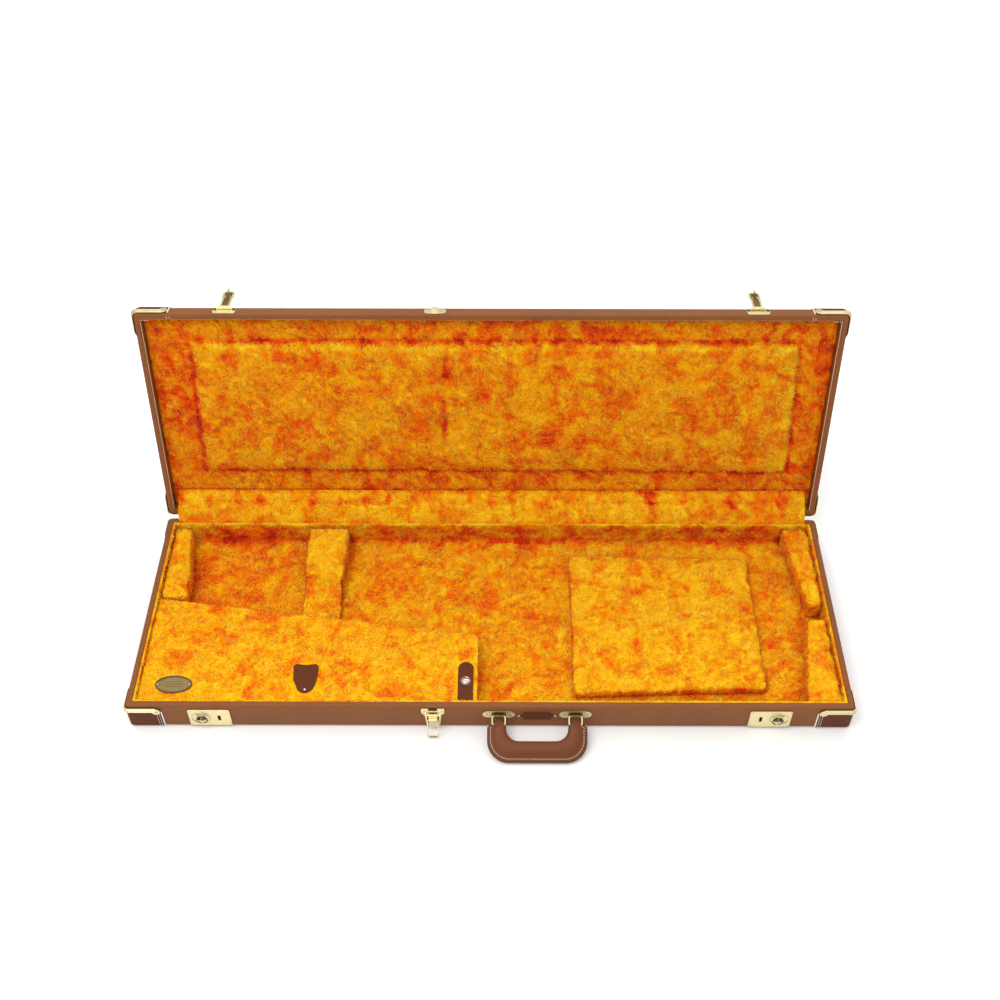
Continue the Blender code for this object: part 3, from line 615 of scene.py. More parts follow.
for side_name, sign in SIDES:
    centre = sign * 0.414
    knob_x = sign * (LOCK_X + KNOB_OFFSET)
    soften(f"lock_plate_{side_name}", BRASS, 0.0004)
    places = [(centre + a * 0.0278, FRONT - 0.0018, z) for a in (-1, 1) for z in (0.0068, 0.0398)]
    screws(f"lock_screws_{side_name}", places, 0.0016, "base")
    profile = [(0.0001, 0.0052), (0.0012, 0.0053), (0.0022, 0.0056), (0.0034, 0.0062), (0.0048, 0.0064),
               (0.0062, 0.0060), (0.0074, 0.0051), (0.0086, 0.0042), (0.0098, 0.0035), (0.0104, 0.0029),
               (0.0104, 0.0021), (0.0018, 0.0021), (0.0018, -0.0030), (0.0001, -0.0030)]
    made = Build()
    there = Matrix.Translation((knob_x, FRONT, LOCK_Z)) @ FACING_FRONT
    made.add(turned(profile, 64, knob_shape), there)
    # The keyhole, its slot, the ring round the face and five strokes on the face are painted shade, in the dark
    # material.
    hole = turned([(0.0001, 0.0060), (0.0011, 0.0060), (0.0013, 0.0056), (0.0013, 0.0045), (0.0001, 0.0045)], 20)
    made.add(hole, there, 1)
    made.add(box((-0.0004, -0.0030, 0.0045), (0.0004, -0.0004, 0.0060)), there, 1)
    made.add(tube([(0.0078 * math.cos(a), 0.0078 * math.sin(a), 0.0052) for a in
                   [2 * math.pi * k / 40 for k in range(40)]], 0.0008, 6, True), there, 1)
    for k in range(5):
        a = math.radians(30 + 30 * k)
        ends = [(r * math.cos(a), r * math.sin(a), h) for r, h in ((0.0030, 0.0068), (0.0050, 0.0072), (0.0070, 0.0060))]
        made.add(tube(ends, [0.0003, 0.0009, 0.0009], 6), there, 1)
    knob = made.done(f"keyed_knob_{side_name}", f"lock_knob_{side_name}", [BRASS, PAINTED_SHADE], "pale_brass")
    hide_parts(f"lock_knob_{side_name}")
    ring = turned([(0.0122, 0.0002), (0.0122, 0.0006), (0.0118, 0.0009), (0.0112, 0.0009), (0.0110, 0.0004),
                   (0.0110, 0.0002)], 48)
    points, faces = ring
    ring = points, faces[:-2]
    collar = Build().add(loft([ring[0][k * 48:(k + 1) * 48] for k in range(6)], closed=True),
                         Matrix.Translation((knob_x + sign * 0.002, FRONT - 0.0018, LOCK_Z)) @ FACING_FRONT
                         @ Matrix.Scale(1.22, 4, (1, 0, 0)))
    collar.done(f"knob_collar_{side_name}", "base", [BRASS], "pale_brass")

    soften(f"hasp_plate_{side_name}", BRASS)
    soften(f"hasp_{side_name}", BRASS)
    x = sign * LOCK_X
    places = [(x + a * 0.0144, FRONT - 0.0015, 0.0592) for a in (-1, 1)]
    screws(f"hasp_screws_{side_name}", places, 0.0019, "lid", LID)
    rib = tube([(x, FRONT - 0.0052, 0.0375), (x, FRONT - 0.0054, 0.034), (x, FRONT - 0.0054, 0.0225),
                (x, FRONT - 0.0052, 0.0195)], [0.0006, 0.0016, 0.0016, 0.0006], 10)
    inside = Build().add(rib)
    # A dark brass panel on the flap's inner face: painted shade, on the flap's unpolished back.
    inside.add(box((x - 0.0056, FRONT - 0.0037, 0.0205), (x + 0.0056, FRONT - 0.00345, 0.0600), 0.0001), slot=1)
    for way in (-1, 1):
        line = [(x + way * a, FRONT - 0.0034, z) for a, z in ((0.0052, 0.0600), (0.0052, 0.040), (0.0030, 0.031))]
        inside.add(tube(line, 0.0007, 8))
    inside.done(f"hasp_rib_{side_name}", f"hasp_{side_name}", [BRASS, SHADED], "pale_brass", HASP)
    # The slits are dark slabs on the plate: painted shade.
    slits = Build()
    for way in (-1, 1):
        slits.add(box((x + way * 0.0144 - 0.0022, FRONT - 0.00163, 0.0628), (x + way * 0.0144 + 0.0022, FRONT - 0.0014, 0.0680)))
    slits.done(f"hasp_plate_slits_{side_name}", "lid", [PAINTED_SHADE], "pale_brass", LID)

for node, width in (("latch_plate", 0.0003), ("latch_lever", 0.0003), ("latch_bail", 0.0001),
                    ("latch_keeper", 0.0002), ("handle_plate_left", 0.0003), ("handle_plate_right", 0.0003),
                    ("handle_loop_left", 0.0001), ("handle_loop_right", 0.0001)):
    soften(node, BRASS, width)
places = [(LATCH_X + a * 0.0130, FRONT - 0.0015, 0.0420) for a in (-1, 1)]
screws("latch_screws", places, 0.0019, "base")
places = [(LATCH_X + a * 0.0125, FRONT - 0.0015, 0.0625) for a in (-1, 1)]
screws("keeper_screws", places, 0.0017, "lid", LID)
# Dark slabs on the latch plate: painted shade in its slot and beside it.
spring = Build().add(box((LATCH_X - 0.0063, FRONT - 0.0012, 0.0427), (LATCH_X + 0.0063, FRONT + 0.001, 0.0473), 0.0004))
for sign in (-1, 1):
    spring.add(box((LATCH_X + sign * 0.0077 - 0.0010, FRONT - 0.00165, 0.0090),
                   (LATCH_X + sign * 0.0077 + 0.0010, FRONT - 0.0014, 0.0310), 0.0001))
spring.done("latch_spring_slot", "base", [PAINTED_SHADE], "pale_brass")
lip_z = 0.0285 + 0.0285
lip = tube([(LATCH_X - 0.0062, FRONT - 0.0078, lip_z), (LATCH_X - 0.0050, FRONT - 0.0078, lip_z),
            (LATCH_X + 0.0050, FRONT - 0.0078, lip_z), (LATCH_X + 0.0062, FRONT - 0.0078, lip_z)],
           [0.0007, 0.00105, 0.00105, 0.0007], 12)
Build().add(lip).done("bail_lip", "latch_bail", [OLD_GOLD], "pale_brass", BAIL)

for number, x in enumerate((-0.36, 0.0, 0.36), start=1):
    for part in ("base_leaf", "lid_leaf", "pin"):
        soften(f"hinge_{number}_{part}", BRASS, 0.0002)
    places = [(x + a, REAR + 0.0015, RIM - 0.0200) for a in (-0.018, 0.0, 0.018)]
    screws(f"hinge_{number}_base_screws", places, 0.0020, "base", STAY, FACING_REAR)
    places = [(x + a, REAR + 0.0015, RIM + 0.0135) for a in (-0.018, 0.0, 0.018)]
    screws(f"hinge_{number}_lid_screws", places, 0.0020, "lid", LID, FACING_REAR)


# Handle


def leg(half_wide, foot, corner, start, count):
    """Half of a U: down the right leg, round the corner and to the middle of the foot."""
    path = [(half_wide, -start - (foot - corner - start) * k / 4) for k in range(4)]
    for k in range(count + 1):
        a = math.pi / 2 * k / count
        path.append((half_wide - corner + corner * math.cos(a), -(foot - corner) - corner * math.sin(a)))
    return path + [((half_wide - corner) * (1 - k / 4), -foot) for k in range(1, 5)]


NECK = [(0.0046, -0.0064, 0.26), (0.0054, -0.0078, 0.30), (0.0058, -0.0105, 0.42), (0.0105, -0.0135, 0.85)]
outer = [(LOOP_X + a, b) for a, b, _ in NECK] + leg(0.0720, 0.0660, 0.030, 0.0165, 10)
inner = [(LOOP_X - a, b) for a, b, _ in NECK] + leg(0.0455, 0.0360, 0.018, 0.0165, 10)
outer += [(-a, b) for a, b in outer[-2::-1]]
inner += [(-a, b) for a, b in inner[-2::-1]]
thickness = np.ones(len(outer))
thickness[:len(NECK)] = [share for _, _, share in NECK]
thickness[-len(NECK):] = thickness[len(NECK) - 1::-1]
# Across the grip, from the inner side to the outer edge: how far along, and half the thickness there
SECTION = [(0.0, 0.0002), (0.02, 0.0022), (0.07, 0.0042), (0.16, 0.0059), (0.30, 0.0065), (0.48, 0.0062),
           (0.62, 0.0050), (0.72, 0.0034), (0.78, 0.0024), (0.84, 0.0020), (0.96, 0.0019), (0.99, 0.0014),
           (1.0, 0.0002)]


def on_grip(a, b, share, height):
    return HANDLE + Vector((a[0] + (b[0] - a[0]) * share, a[1] + (b[1] - a[1]) * share, height))


rings = []
for a, b, k in zip(inner, outer, thickness):
    ring = [on_grip(a, b, share, k * h) for share, h in SECTION]
    rings.append(ring + [on_grip(a, b, share, -k * h) for share, h in SECTION[::-1]])
grip = Build().add(loft(rings))
for sign in (-1, 1):
    x = HANDLE.x + sign * LOOP_X
    barrel = [(x - 0.0068, HANDLE.y - 0.012, HANDLE.z), (x - 0.0062, HANDLE.y - 0.012, HANDLE.z),
              (x + 0.0062, HANDLE.y - 0.012, HANDLE.z), (x + 0.0068, HANDLE.y - 0.012, HANDLE.z)]
    grip.add(tube(barrel, [0.0028, 0.0037, 0.0037, 0.0028], 16))
handle = grip.done("leather_grip", "handle", [TAN], "grip_leather", GRIP, 60)
rounding = handle.modifiers.new("smooth", "SUBSURF")
rounding.levels = rounding.render_levels = 1
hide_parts("handle_grip")
trimmings = Build()
inner, outer = inner[len(NECK) - 1:1 - len(NECK)], outer[len(NECK) - 1:1 - len(NECK)]
for height in (0.0023, -0.0023):
    row = [on_grip(a, b, 0.865, height) for a, b in zip(inner, outer)]
    trimmings.add(stitches(row, 0.0030, 0.0013, 0.00045))
trimmings.done("grip_stitching", "handle", [CREAM], "grip_leather", GRIP)
edge = Build().add(tube([on_grip(a, b, 0.992, 0.0) for a, b in zip(inner, outer)], 0.0017, 8))
edge.done("grip_edge", "handle", [EDGE], "grip_leather", GRIP)

nail = turned([(r * 0.0011, h * 0.0006) for r, h in DOME], 16)
Build().add(nail, Matrix.Translation((-0.040, FRONT, 0.0167)) @ FACING_FRONT).done(
    "front_nail", "base", [SHADED], "pale_brass")
# Painted shadow: dark brass slabs on the plates between the loop legs, and sleeves round the barrels.
painted_plate_shadows = Build()
for sign in (-1, 1):
    x = HANDLE.x + sign * LOOP_X
    painted_plate_shadows.add(box((x - 0.0105, FRONT - 0.00165, HANDLE.z - 0.0058),
                    (x + 0.0105, FRONT - 0.0014, HANDLE.z + 0.0058), 0.0001))
    barrel_shadow = [(x + a, HANDLE.y, HANDLE.z) for a in (-0.0072, -0.0068, 0.0068, 0.0072)]
    painted_plate_shadows.add(tube(barrel_shadow, [0.0030, 0.0035, 0.0035, 0.0030], 24))
painted_plate_shadows.done("handle_plate_painted_shadows", "base", [SHADED], "pale_brass")
places = [(HANDLE.x + sign * LOOP_X + a * 0.0185, FRONT - 0.0015, HANDLE.z) for sign in (-1, 1)
          for a in (-1, 1)]
screws("handle_screws", places, 0.0024, "base")
soften("name_plate", LEATHER, 0.0003)
ends = Build()
for sign in (-1, 1):
    tip = Vector((HANDLE.x + sign * 0.0285, FRONT - 0.0006, 0.0295))
    point = [tip + Vector((sign * a, -0.0006, b)) for a, b in ((-0.0034, 0.0024), (0.0012, 0.0), (-0.0034, -0.0024))]
    ends.add(loft([point, [p + Vector((0, 0.0009, 0)) for p in point]]))
ends.done("name_plate_studs", "base", [BRASS], "pale_brass")
frame_line = [(0.0188, -0.0066), (0.0188, 0.0066), (-0.0188, 0.0066), (-0.0188, -0.0066), (0.0188, -0.0066)]
rows = Build().add(stitches([(HANDLE.x + a, FRONT - 0.0014, 0.0295 + b) for a, b in frame_line], 0.0020, 0.0012,
                            0.0003))
rows.done("name_plate_stitching", "base", [EDGE], "dark_leather")


# Things on the compartment's lid

soften("pull_tab", LEATHER, 0.0004)
soften("snap_strap", LEATHER, 0.0004)
soften("strap_snap", NICKEL, 0.0002)
soften("badge_plate", OLD_GOLD, 0.0003)
stud = turned([(r * 0.0021, h * 0.0009) for r, h in DOME], 20)
Build().add(stud, Matrix.Translation((-0.2750, -0.1520, BOARD_TOP + 0.0021))).done(
    "tab_rivet", "compartment_lid", [NICKEL], "nickel")
snap_ring = [(-0.0365 + 0.0068 * math.cos(a), -0.136 + 0.0068 * math.sin(a), BOARD_TOP + 0.0025)
             for a in [2 * math.pi * k / 32 for k in range(32)]]
Build().add(tube(snap_ring, 0.0005, 8, True)).done("snap_ring", "compartment_lid", [NICKEL], "nickel")
badge = Vector((-0.471, -0.1435, BOARD_TOP + 0.0018))


def oval(grow, lift=0.0):
    angles = [2 * math.pi * k / 64 for k in range(64)]
    return [badge + Vector(((0.0275 + grow) * math.cos(a), (0.0155 + grow) * math.sin(a), lift)) for a in angles]


rim_line = Build().add(tube(oval(-0.0006, 0.0001), 0.0007, 8, True))
rim_line.add(tube(oval(-0.0028, 0.0), 0.00035, 6, True))
rim_line.done("badge_border", "compartment_lid", [EDGE], "pale_brass")
pins = Build()
for sign in (-1, 1):
    pins.add(turned([(r * 0.0011, h * 0.0007) for r, h in DOME], 16),
             Matrix.Translation(badge + Vector((sign * 0.0238, 0, 0))))
for row in (-0.004, 0.0, 0.004):
    wide = 0.013 if row else 0.017
    pins.add(tube([badge + Vector((s * wide, row, 0.0)) for s in (-1, -0.5, 0, 0.5, 1)], 0.0003, 6), slot=1)
pins.done("badge_pins", "compartment_lid", [BRASS, EDGE], "pale_brass")



# Plush

PILE_PER_M2 = 110000


def crush(p, seed=0.0):
    """How far a point of crushed pile stands up, from about -1 to 1."""
    p = p + Vector((seed, -seed, 0.5 * seed))
    bent = p + 0.016 * noise.noise_vector(p * 26) + 0.006 * noise.noise_vector(p * 75)
    ridges = 1 - 2.6 * abs(noise.noise(bent * 46))
    return 0.55 * ridges + 0.55 * noise.noise(bent * 95) + 0.35 * noise.noise(bent * 190)


def patch(p, seed, rare):
    """From about -1 to 1, low where the pile lies away from the light: orange patches with firm edges,
    the fewer the larger rare is."""
    p = p + Vector((-seed, 2 * seed, seed))
    bent = p + 0.040 * noise.noise_vector(p * 15) + 0.012 * noise.noise_vector(p * 48)
    value = noise.noise(bent * 27) + 0.75 * noise.noise(bent * 60) + 0.35 * noise.noise(bent * 125)
    return math.tanh(3.0 * (value + rare))


def nap(obj, depth, seed=0.0, painted_light=None, keep=None, rare=0.10):
    """Pushes a piece's surface in and out by the crush of its pile, and stores that for its material.
    painted_light gives the painted shade and highlight at a point, which is stored with the patches in the tip
    attribute, and keep how much of the depth it gets."""
    mesh = obj.data
    count = len(mesh.vertices)
    relief, shade = np.zeros(count, np.float32), np.zeros(count, np.float32)
    moved = np.empty((count, 3), np.float32)
    for i, (vertex, normal) in enumerate(zip(mesh.vertices, mesh.vertex_normals)):
        at, out = vertex.co, normal.vector
        value = crush(at, seed)
        relief[i] = value
        shade[i] = 0.40 * patch(at, seed, rare) + painted_light(at, out)
        moved[i] = at + out * depth * (value - 0.4) * (keep(at, out) if keep else 1.0)
    mesh.vertices.foreach_set("co", moved.ravel())
    # The tip attribute holds the patches and the painted shade and highlight.
    for name, values in (("relief", relief), ("tip", shade)):
        attribute = mesh.attributes.new(name, "FLOAT", "POINT")
        attribute.data.foreach_set("value", values)
    mesh.update()


def plush_piece(name, mesh, body, node, depth, seed, painted_light=None, keep=None, rare=0.10):
    mesh.materials.append(PLUSH)
    obj = settle(name, mesh, body, 0)
    mesh.polygons.foreach_set("use_smooth", [True] * len(mesh.polygons))
    nap(obj, depth, seed, painted_light, keep, rare)
    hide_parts(*([node] if isinstance(node, str) else node))
    return obj


def pile(obj, count_per_m2, length, allowed=None, clamp=None, share=None):
    """Locks of pile lying on a plush piece, all one way over a few centimetres and then another."""
    mesh = obj.data
    mesh.calc_loop_triangles()
    points = np.empty(len(mesh.vertices) * 3, np.float32)
    mesh.vertices.foreach_get("co", points)
    points = points.reshape(-1, 3).astype(float)
    corners = np.empty(len(mesh.loop_triangles) * 3, np.int32)
    mesh.loop_triangles.foreach_get("vertices", corners)
    corners = corners.reshape(-1, 3)
    tip_painted_light = np.empty(len(points), np.float32)
    mesh.attributes["tip"].data.foreach_get("value", tip_painted_light)
    a, b, c = (points[corners[:, k]] for k in range(3))
    cross = np.cross(b - a, c - a)
    area = np.linalg.norm(cross, axis=1) / 2
    normals = cross / np.maximum(2 * area[:, None], 1e-12)
    if allowed is not None:
        area = area * allowed((a + b + c) / 3, normals)
    count = int(area.sum() * count_per_m2 * (1.0))
    if not count:
        return None
    chosen = rng.choice(len(area), count, p=area / area.sum())
    u, v = rng.random((2, count, 1))
    u, v = np.where(u + v > 1, 1 - u, u), np.where(u + v > 1, 1 - v, v)
    roots = a[chosen] * (1 - u - v) + b[chosen] * u + c[chosen] * v
    out = normals[chosen]
    swirl = np.array([noise.noise_vector(Vector(p) * 22) for p in roots])
    swirl += 0.45 * rng.normal(size=swirl.shape) * 0.5
    swirl -= out * (swirl * out).sum(1, keepdims=True)
    swirl /= np.maximum(np.linalg.norm(swirl, axis=1, keepdims=True), 1e-9)
    lean = rng.uniform(0.30, 0.62, (count, 1))
    ways = swirl * np.sqrt(1 - lean ** 2) + out * lean
    reach = length * rng.uniform(0.55, 1.25, (count, 1))
    width = rng.uniform(0.00035, 0.00075, (count, 1))
    side = np.cross(ways, out)
    side /= np.maximum(np.linalg.norm(side, axis=1, keepdims=True), 1e-9)
    base = roots - out * 0.0004
    made = np.stack([base - side * width, base + side * width, base + out * width * 1.3 + ways * reach * 0.10,
                     base + ways * reach], axis=1).reshape(-1, 3)
    if clamp is not None:
        made = clamp(made)
    shape = np.array([[0, 1, 2], [0, 3, 1], [1, 3, 2], [2, 3, 0]])
    faces = (np.arange(count)[:, None, None] * 4 + shape[None]).reshape(-1, 3)
    locks = bpy.data.meshes.new(obj.name + "_pile")
    locks.vertices.add(len(made))
    locks.vertices.foreach_set("co", made.astype(np.float32).ravel())
    locks.loops.add(faces.size)
    locks.loops.foreach_set("vertex_index", faces.astype(np.int32).ravel())
    locks.polygons.add(len(faces))
    locks.polygons.foreach_set("loop_start", np.arange(0, faces.size, 3, dtype=np.int32))
    for material in PILE:
        locks.materials.append(material)
    # Each lock's colour follows the painted shade and highlight of the plush under it, with a random spread.
    level = tip_painted_light[corners[chosen, 0]] * 2.6 + rng.normal(2.85, 1.05, count)
    slots = np.clip(np.round(level), 0, len(PILE) - 1).astype(np.int32)
    locks.polygons.foreach_set("material_index", np.repeat(slots, 4))
    locks.update(calc_edges=True)
    made_obj = bpy.data.objects.new(obj.name + "_pile", locks)
    bpy.context.scene.collection.objects.link(made_obj)
    return made_obj


def remeshed(mesh, voxel, smooth=2):
    """The mesh as even quads of about one voxel, a little rounded."""
    obj = bpy.data.objects.new("work", mesh)
    bpy.context.scene.collection.objects.link(obj)
    change = obj.modifiers.new("remesh", "REMESH")
    change.mode = "VOXEL"
    change.voxel_size = voxel
    if smooth:
        ease = obj.modifiers.new("smooth", "SMOOTH")
        ease.iterations = smooth
        ease.factor = 0.5
    return applied(obj)


def applied(obj):
    """The object's evaluated mesh, with the object itself removed."""
    bpy.context.view_layer.update()
    graph = bpy.context.evaluated_depsgraph_get()
    mesh = bpy.data.meshes.new_from_object(obj.evaluated_get(graph))
    bpy.data.objects.remove(obj)
    mesh.materials.clear()
    return mesh


def inflated(mesh, most=0.0035, frames=16):
    """A few steps of cloth with air inside, so that a pad swells and pulls in at its edges."""
    obj = bpy.data.objects.new("work", mesh)
    bpy.context.scene.collection.objects.link(obj)
    before = np.empty(len(mesh.vertices) * 3, np.float32)
    mesh.vertices.foreach_get("co", before)
    before = before.reshape(-1, 3)
    cloth = obj.modifiers.new("cloth", "CLOTH")
    cloth.settings.quality = 4
    cloth.settings.mass = 0.2
    cloth.settings.tension_stiffness = 30
    cloth.settings.compression_stiffness = 30
    cloth.settings.bending_stiffness = 0.8
    cloth.settings.use_pressure = True
    cloth.settings.uniform_pressure_force = 4
    cloth.settings.effector_weights.gravity = 0
    for frame_number in range(1, frames + 1):
        bpy.context.scene.frame_set(frame_number)
    after_mesh = applied(obj)
    bpy.context.scene.frame_set(1)
    after = np.empty(len(after_mesh.vertices) * 3, np.float32)
    after_mesh.vertices.foreach_get("co", after)
    step = after.reshape(-1, 3) - before
    length = np.linalg.norm(step, axis=1, keepdims=True)
    step *= np.minimum(1.0, most / np.maximum(length, 1e-9))
    after_mesh.vertices.foreach_set("co", (before + step).ravel())
    return after_mesh


def finer(mesh, levels=1):
    obj = bpy.data.objects.new("work", mesh)
    bpy.context.scene.collection.objects.link(obj)
    change = obj.modifiers.new("finer", "SUBSURF")
    change.levels = levels
    return applied(obj)


def sheet_mesh(name, across, along, place, back):
    """A closed slab from two grids: place gives a point of its front, and back one of its back."""
    nx, ny = len(across), len(along)
    points = [place(x, y) for x in across for y in along]
    points += [back(x, y) for x in across for y in along]
    faces, half = [], nx * ny
    for i in range(nx - 1):
        for j in range(ny - 1):
            a, b, c, d = i * ny + j, (i + 1) * ny + j, (i + 1) * ny + j + 1, i * ny + j + 1
            faces += [(a, b, c, d), (half + d, half + c, half + b, half + a)]
    rim = [i * ny for i in range(nx)] + [(nx - 1) * ny + j for j in range(1, ny)]
    rim += [i * ny + ny - 1 for i in range(nx - 2, -1, -1)] + list(range(ny - 2, 0, -1))
    for a, b in zip(rim, rim[1:] + rim[:1]):
        faces.append((b, a, half + a, half + b))
    mesh = bpy.data.meshes.new(name)
    mesh.from_pydata(points, [], faces)
    return mesh


def ease(value):
    value = min(max(value, 0.0), 1.0)
    return value * value * (3 - 2 * value)


# The lid's lining: one plush board with a raised pad, seams round it and a seam along the flap
PAD = [Vector(p) for p in ((-0.4609, -0.1318), (0.4723, -0.1310), (0.4813, 0.1093), (-0.4668, 0.1063))]
FOLDS = [(-0.410, -0.010, 11, 0.080), (-0.190, 0.005, 9, 0.070), (0.262, -0.012, 11, 0.075),
         (0.060, 0.030, 8, 0.060)]
FLAP_SEAM = 0.147
reach_x, reach_y = INSIDE_X + 0.003, INSIDE_Y + 0.003


def inside_pad(x, y):
    """How far a point lies inside the pad's outline."""
    found = []
    for a, b in zip(PAD, PAD[1:] + PAD[:1]):
        side = (b - a).normalized()
        found.append((side.x * (y - a.y) - side.y * (x - a.x)))
    return min(found)


def lid_height(x, y):
    """How far the lining stands out of the lid."""
    wave = 0.004 * noise.noise(Vector((x, y, 0)) * 18) + 0.0022 * noise.noise(Vector((x, y, 1)) * 70)
    d = inside_pad(x, y) + wave
    rise = PAD_RISE * (1 - math.exp(-max(d, 0.0) / 0.010)) * 1.02
    rise -= 0.0018 * math.exp(-(d / 0.0035) ** 2)
    quilt = x + 0.073 + 0.024 * (y + 0.012) / 0.24 * 0.25
    rise -= 0.0034 * math.exp(-(quilt / 0.004) ** 2) * ease(d / 0.012)
    for fx, fy, count, spread in FOLDS:
        dx, dy = x - fx, y - fy
        r = math.hypot(dx, dy)
        if r < spread * 1.6:
            angle = math.atan2(dy, dx) * count + 5 * noise.noise(Vector((x, y, 3)) * 14)
            rise += 0.0014 * math.cos(angle) * ease(r / 0.02) * (1 - ease(r / spread / 1.6)) * ease(d / 0.02)
    rise += 0.0016 * noise.noise(Vector((x, y, 8)) * 22)
    rise -= 0.0022 * math.exp(-((y - FLAP_SEAM) / 0.0025) ** 2)
    return rise + 0.0010


def lid_painted_light(at, out):
    """Painted shade in the border round the pad, beside the seams and at the ends, and a painted highlight along the
    pad's right and top edges.
    """
    p = LID_BACK @ at
    ragged = noise.noise(p * 45)
    d = inside_pad(p.x, p.y) + 0.004 * noise.noise(p * 60)
    painted_light = -0.22 * (1 - ease((d + 0.004) / 0.010)) - 0.05
    if 0.0 < d < 0.016 and (p.x > 0.44 or p.y < -0.118):
        painted_light += 0.75 * (1 - abs(d - 0.008) / 0.008) * (0.7 + ragged)
    painted_light -= (0.75 + ragged) * math.exp(-(d / 0.004) ** 2)
    quilt = p.x + 0.073 + 0.006 * (p.y + 0.012) / 0.24
    if d > 0:
        painted_light -= (0.45 + ragged) * math.exp(-(quilt / 0.004) ** 2)
    if p.x < -0.46 or p.x > 0.50:
        painted_light -= 0.15
    return painted_light - 0.5 * math.exp(-((p.y - FLAP_SEAM) / 0.003) ** 2)


LID_BACK = LID.inverted()
steps_x = np.linspace(-reach_x, reach_x, 300)
steps_y = np.linspace(-reach_y, reach_y, 100)


def rim_ease(x, y):
    """Falls to nothing at the edge of the lining, where it is tucked behind the vinyl."""
    return ease(min(reach_x - abs(x), reach_y - abs(y)) / 0.004)


lining = sheet_mesh("plush_lid_lining", steps_x, steps_y,
                    lambda x, y: (x, y, PILE_TOP - lid_height(x, y) * rim_ease(x, y)),
                    lambda x, y: (x, y, PILE_TOP + 0.0026))
lining.transform(LID)
lid_lining = plush_piece("plush_lid_lining", lining, "lid", ("lid_lining", "lid_pad"), 0.0016, 3.1, lid_painted_light)


def lid_front(middles, normals):
    """1 for faces of the lid's lining that show."""
    back = np.array(LID_BACK)
    local = middles @ back[:3, :3].T + back[:3, 3]
    facing = (normals @ back[:3, :3].T)[:, 2] < -0.1
    return facing & (np.abs(local[:, 0]) < INSIDE_X - 0.001) & (np.abs(local[:, 1]) < INSIDE_Y - 0.001)


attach(pile(lid_lining, PILE_PER_M2, 0.0072, lid_front), "lid")


# The base's lining: a tray with soft inner corners
def tray_mesh(step):
    """A box with a pocket. Its inner faces are grids, so that the pile has points to move."""
    low, high = Vector((-INSIDE_X, -INSIDE_Y, FLOOR)), Vector((INSIDE_X, INSIDE_Y, RIM - 0.0015))
    nx, ny, nz = (max(2, round((high[k] - low[k]) / step)) for k in range(3))
    xs, ys, zs = (np.linspace(low[k], high[k], n + 1) for k, n in enumerate((nx, ny, nz)))
    made = Build()

    def patch(us, vs, place):
        points = [place(u, v) for u in us for v in vs]
        m = len(vs)
        faces = [[i * m + j, (i + 1) * m + j, (i + 1) * m + j + 1, i * m + j + 1]
                 for i in range(len(us) - 1) for j in range(m - 1)]
        made.add((points, faces))

    patch(xs, ys, lambda u, v: (u, v, FLOOR))
    for y in (low.y, high.y):
        patch(xs, zs, lambda u, v: (u, y, v))
    for x in (low.x, high.x):
        patch(ys, zs, lambda u, v: (x, u, v))
    rounds = [(0.0012, 0.0004), (0.0030, 0.0004), (0.0030, -0.0020)]
    ring = [(x, low.y) for x in xs] + [(high.x, y) for y in ys[1:]]
    ring += [(x, high.y) for x in xs[-2::-1]] + [(low.x, y) for y in ys[-2:0:-1]]
    rings = [[(x, y, high.z) for x, y in ring]]
    for out, rise in rounds:
        grow_x, grow_y = (INSIDE_X + out) / INSIDE_X, (INSIDE_Y + out) / INSIDE_Y
        rings.append([(x * grow_x, y * grow_y, high.z + rise) for x, y in ring])
    made.add(loft(rings, caps=False))
    last = [Vector(p) for p in rings[-1]]
    bottom = FLOOR - 0.0030
    x, y = reach_x, reach_y
    foot = [(-x, -y), (x, -y), (x, y), (-x, y)]
    count = len(last)
    corners = [0, len(xs) - 1, len(xs) + len(ys) - 2, 2 * len(xs) + len(ys) - 3, count]
    points = last + [Vector((a, b, bottom)) for a, b in foot]
    faces = []
    for k in range(4):
        row = [i % count for i in range(corners[k], corners[k + 1] + 1)]
        faces.append(row[::-1] + [count + k, count + (k + 1) % 4])
    faces.append([count, count + 3, count + 2, count + 1])
    made.add((points, faces))
    mesh = bpy.data.meshes.new("plush_tray")
    mesh.from_pydata(made.points, [], made.faces)
    shape = bmesh.new()
    shape.from_mesh(mesh)
    bmesh.ops.remove_doubles(shape, verts=shape.verts, dist=1e-5)
    soft = [v for v in shape.verts if v.co.z < high.z - 0.001 and abs(v.co.x) < INSIDE_X + 1e-4
            and abs(v.co.y) < INSIDE_Y + 1e-4]
    for _ in range(3):
        bmesh.ops.smooth_vert(shape, verts=soft, factor=0.5, use_axis_x=True, use_axis_y=True, use_axis_z=True)
    shape.to_mesh(mesh)
    shape.free()
    return mesh


def within(at, margin=0.0004):
    """Whether a point of the tray is on its inside, and not on the hidden outside."""
    return abs(at.x) < INSIDE_X + margin and abs(at.y) < INSIDE_Y + margin and at.z > FLOOR - 0.002


def tray_painted_light(at, out):
    """Painted shade along the rear wall and in the corners of the floor, and a painted highlight along the rim."""
    ragged = noise.noise(at * 38)
    painted_light = 0.04
    wall = min(INSIDE_X - abs(at.x), INSIDE_Y - abs(at.y))
    if at.y > INSIDE_Y - 0.004:
        painted_light -= 0.34 - 0.34 * ease((at.z - 0.036) / 0.010) - 0.9 * ragged
    elif wall < 0.004:
        painted_light -= 0.25
    elif at.x < -0.30 and at.y > 0:
        painted_light -= 0.16
    if at.z > 0.046:
        painted_light += 0.45
    if at.z < FLOOR + 0.010 and wall < 0.010 + 0.010 * ragged:
        painted_light -= 0.25
    if at.y < 0.010 - INSIDE_Y and at.x > 0.10:
        painted_light += 0.35
    return painted_light


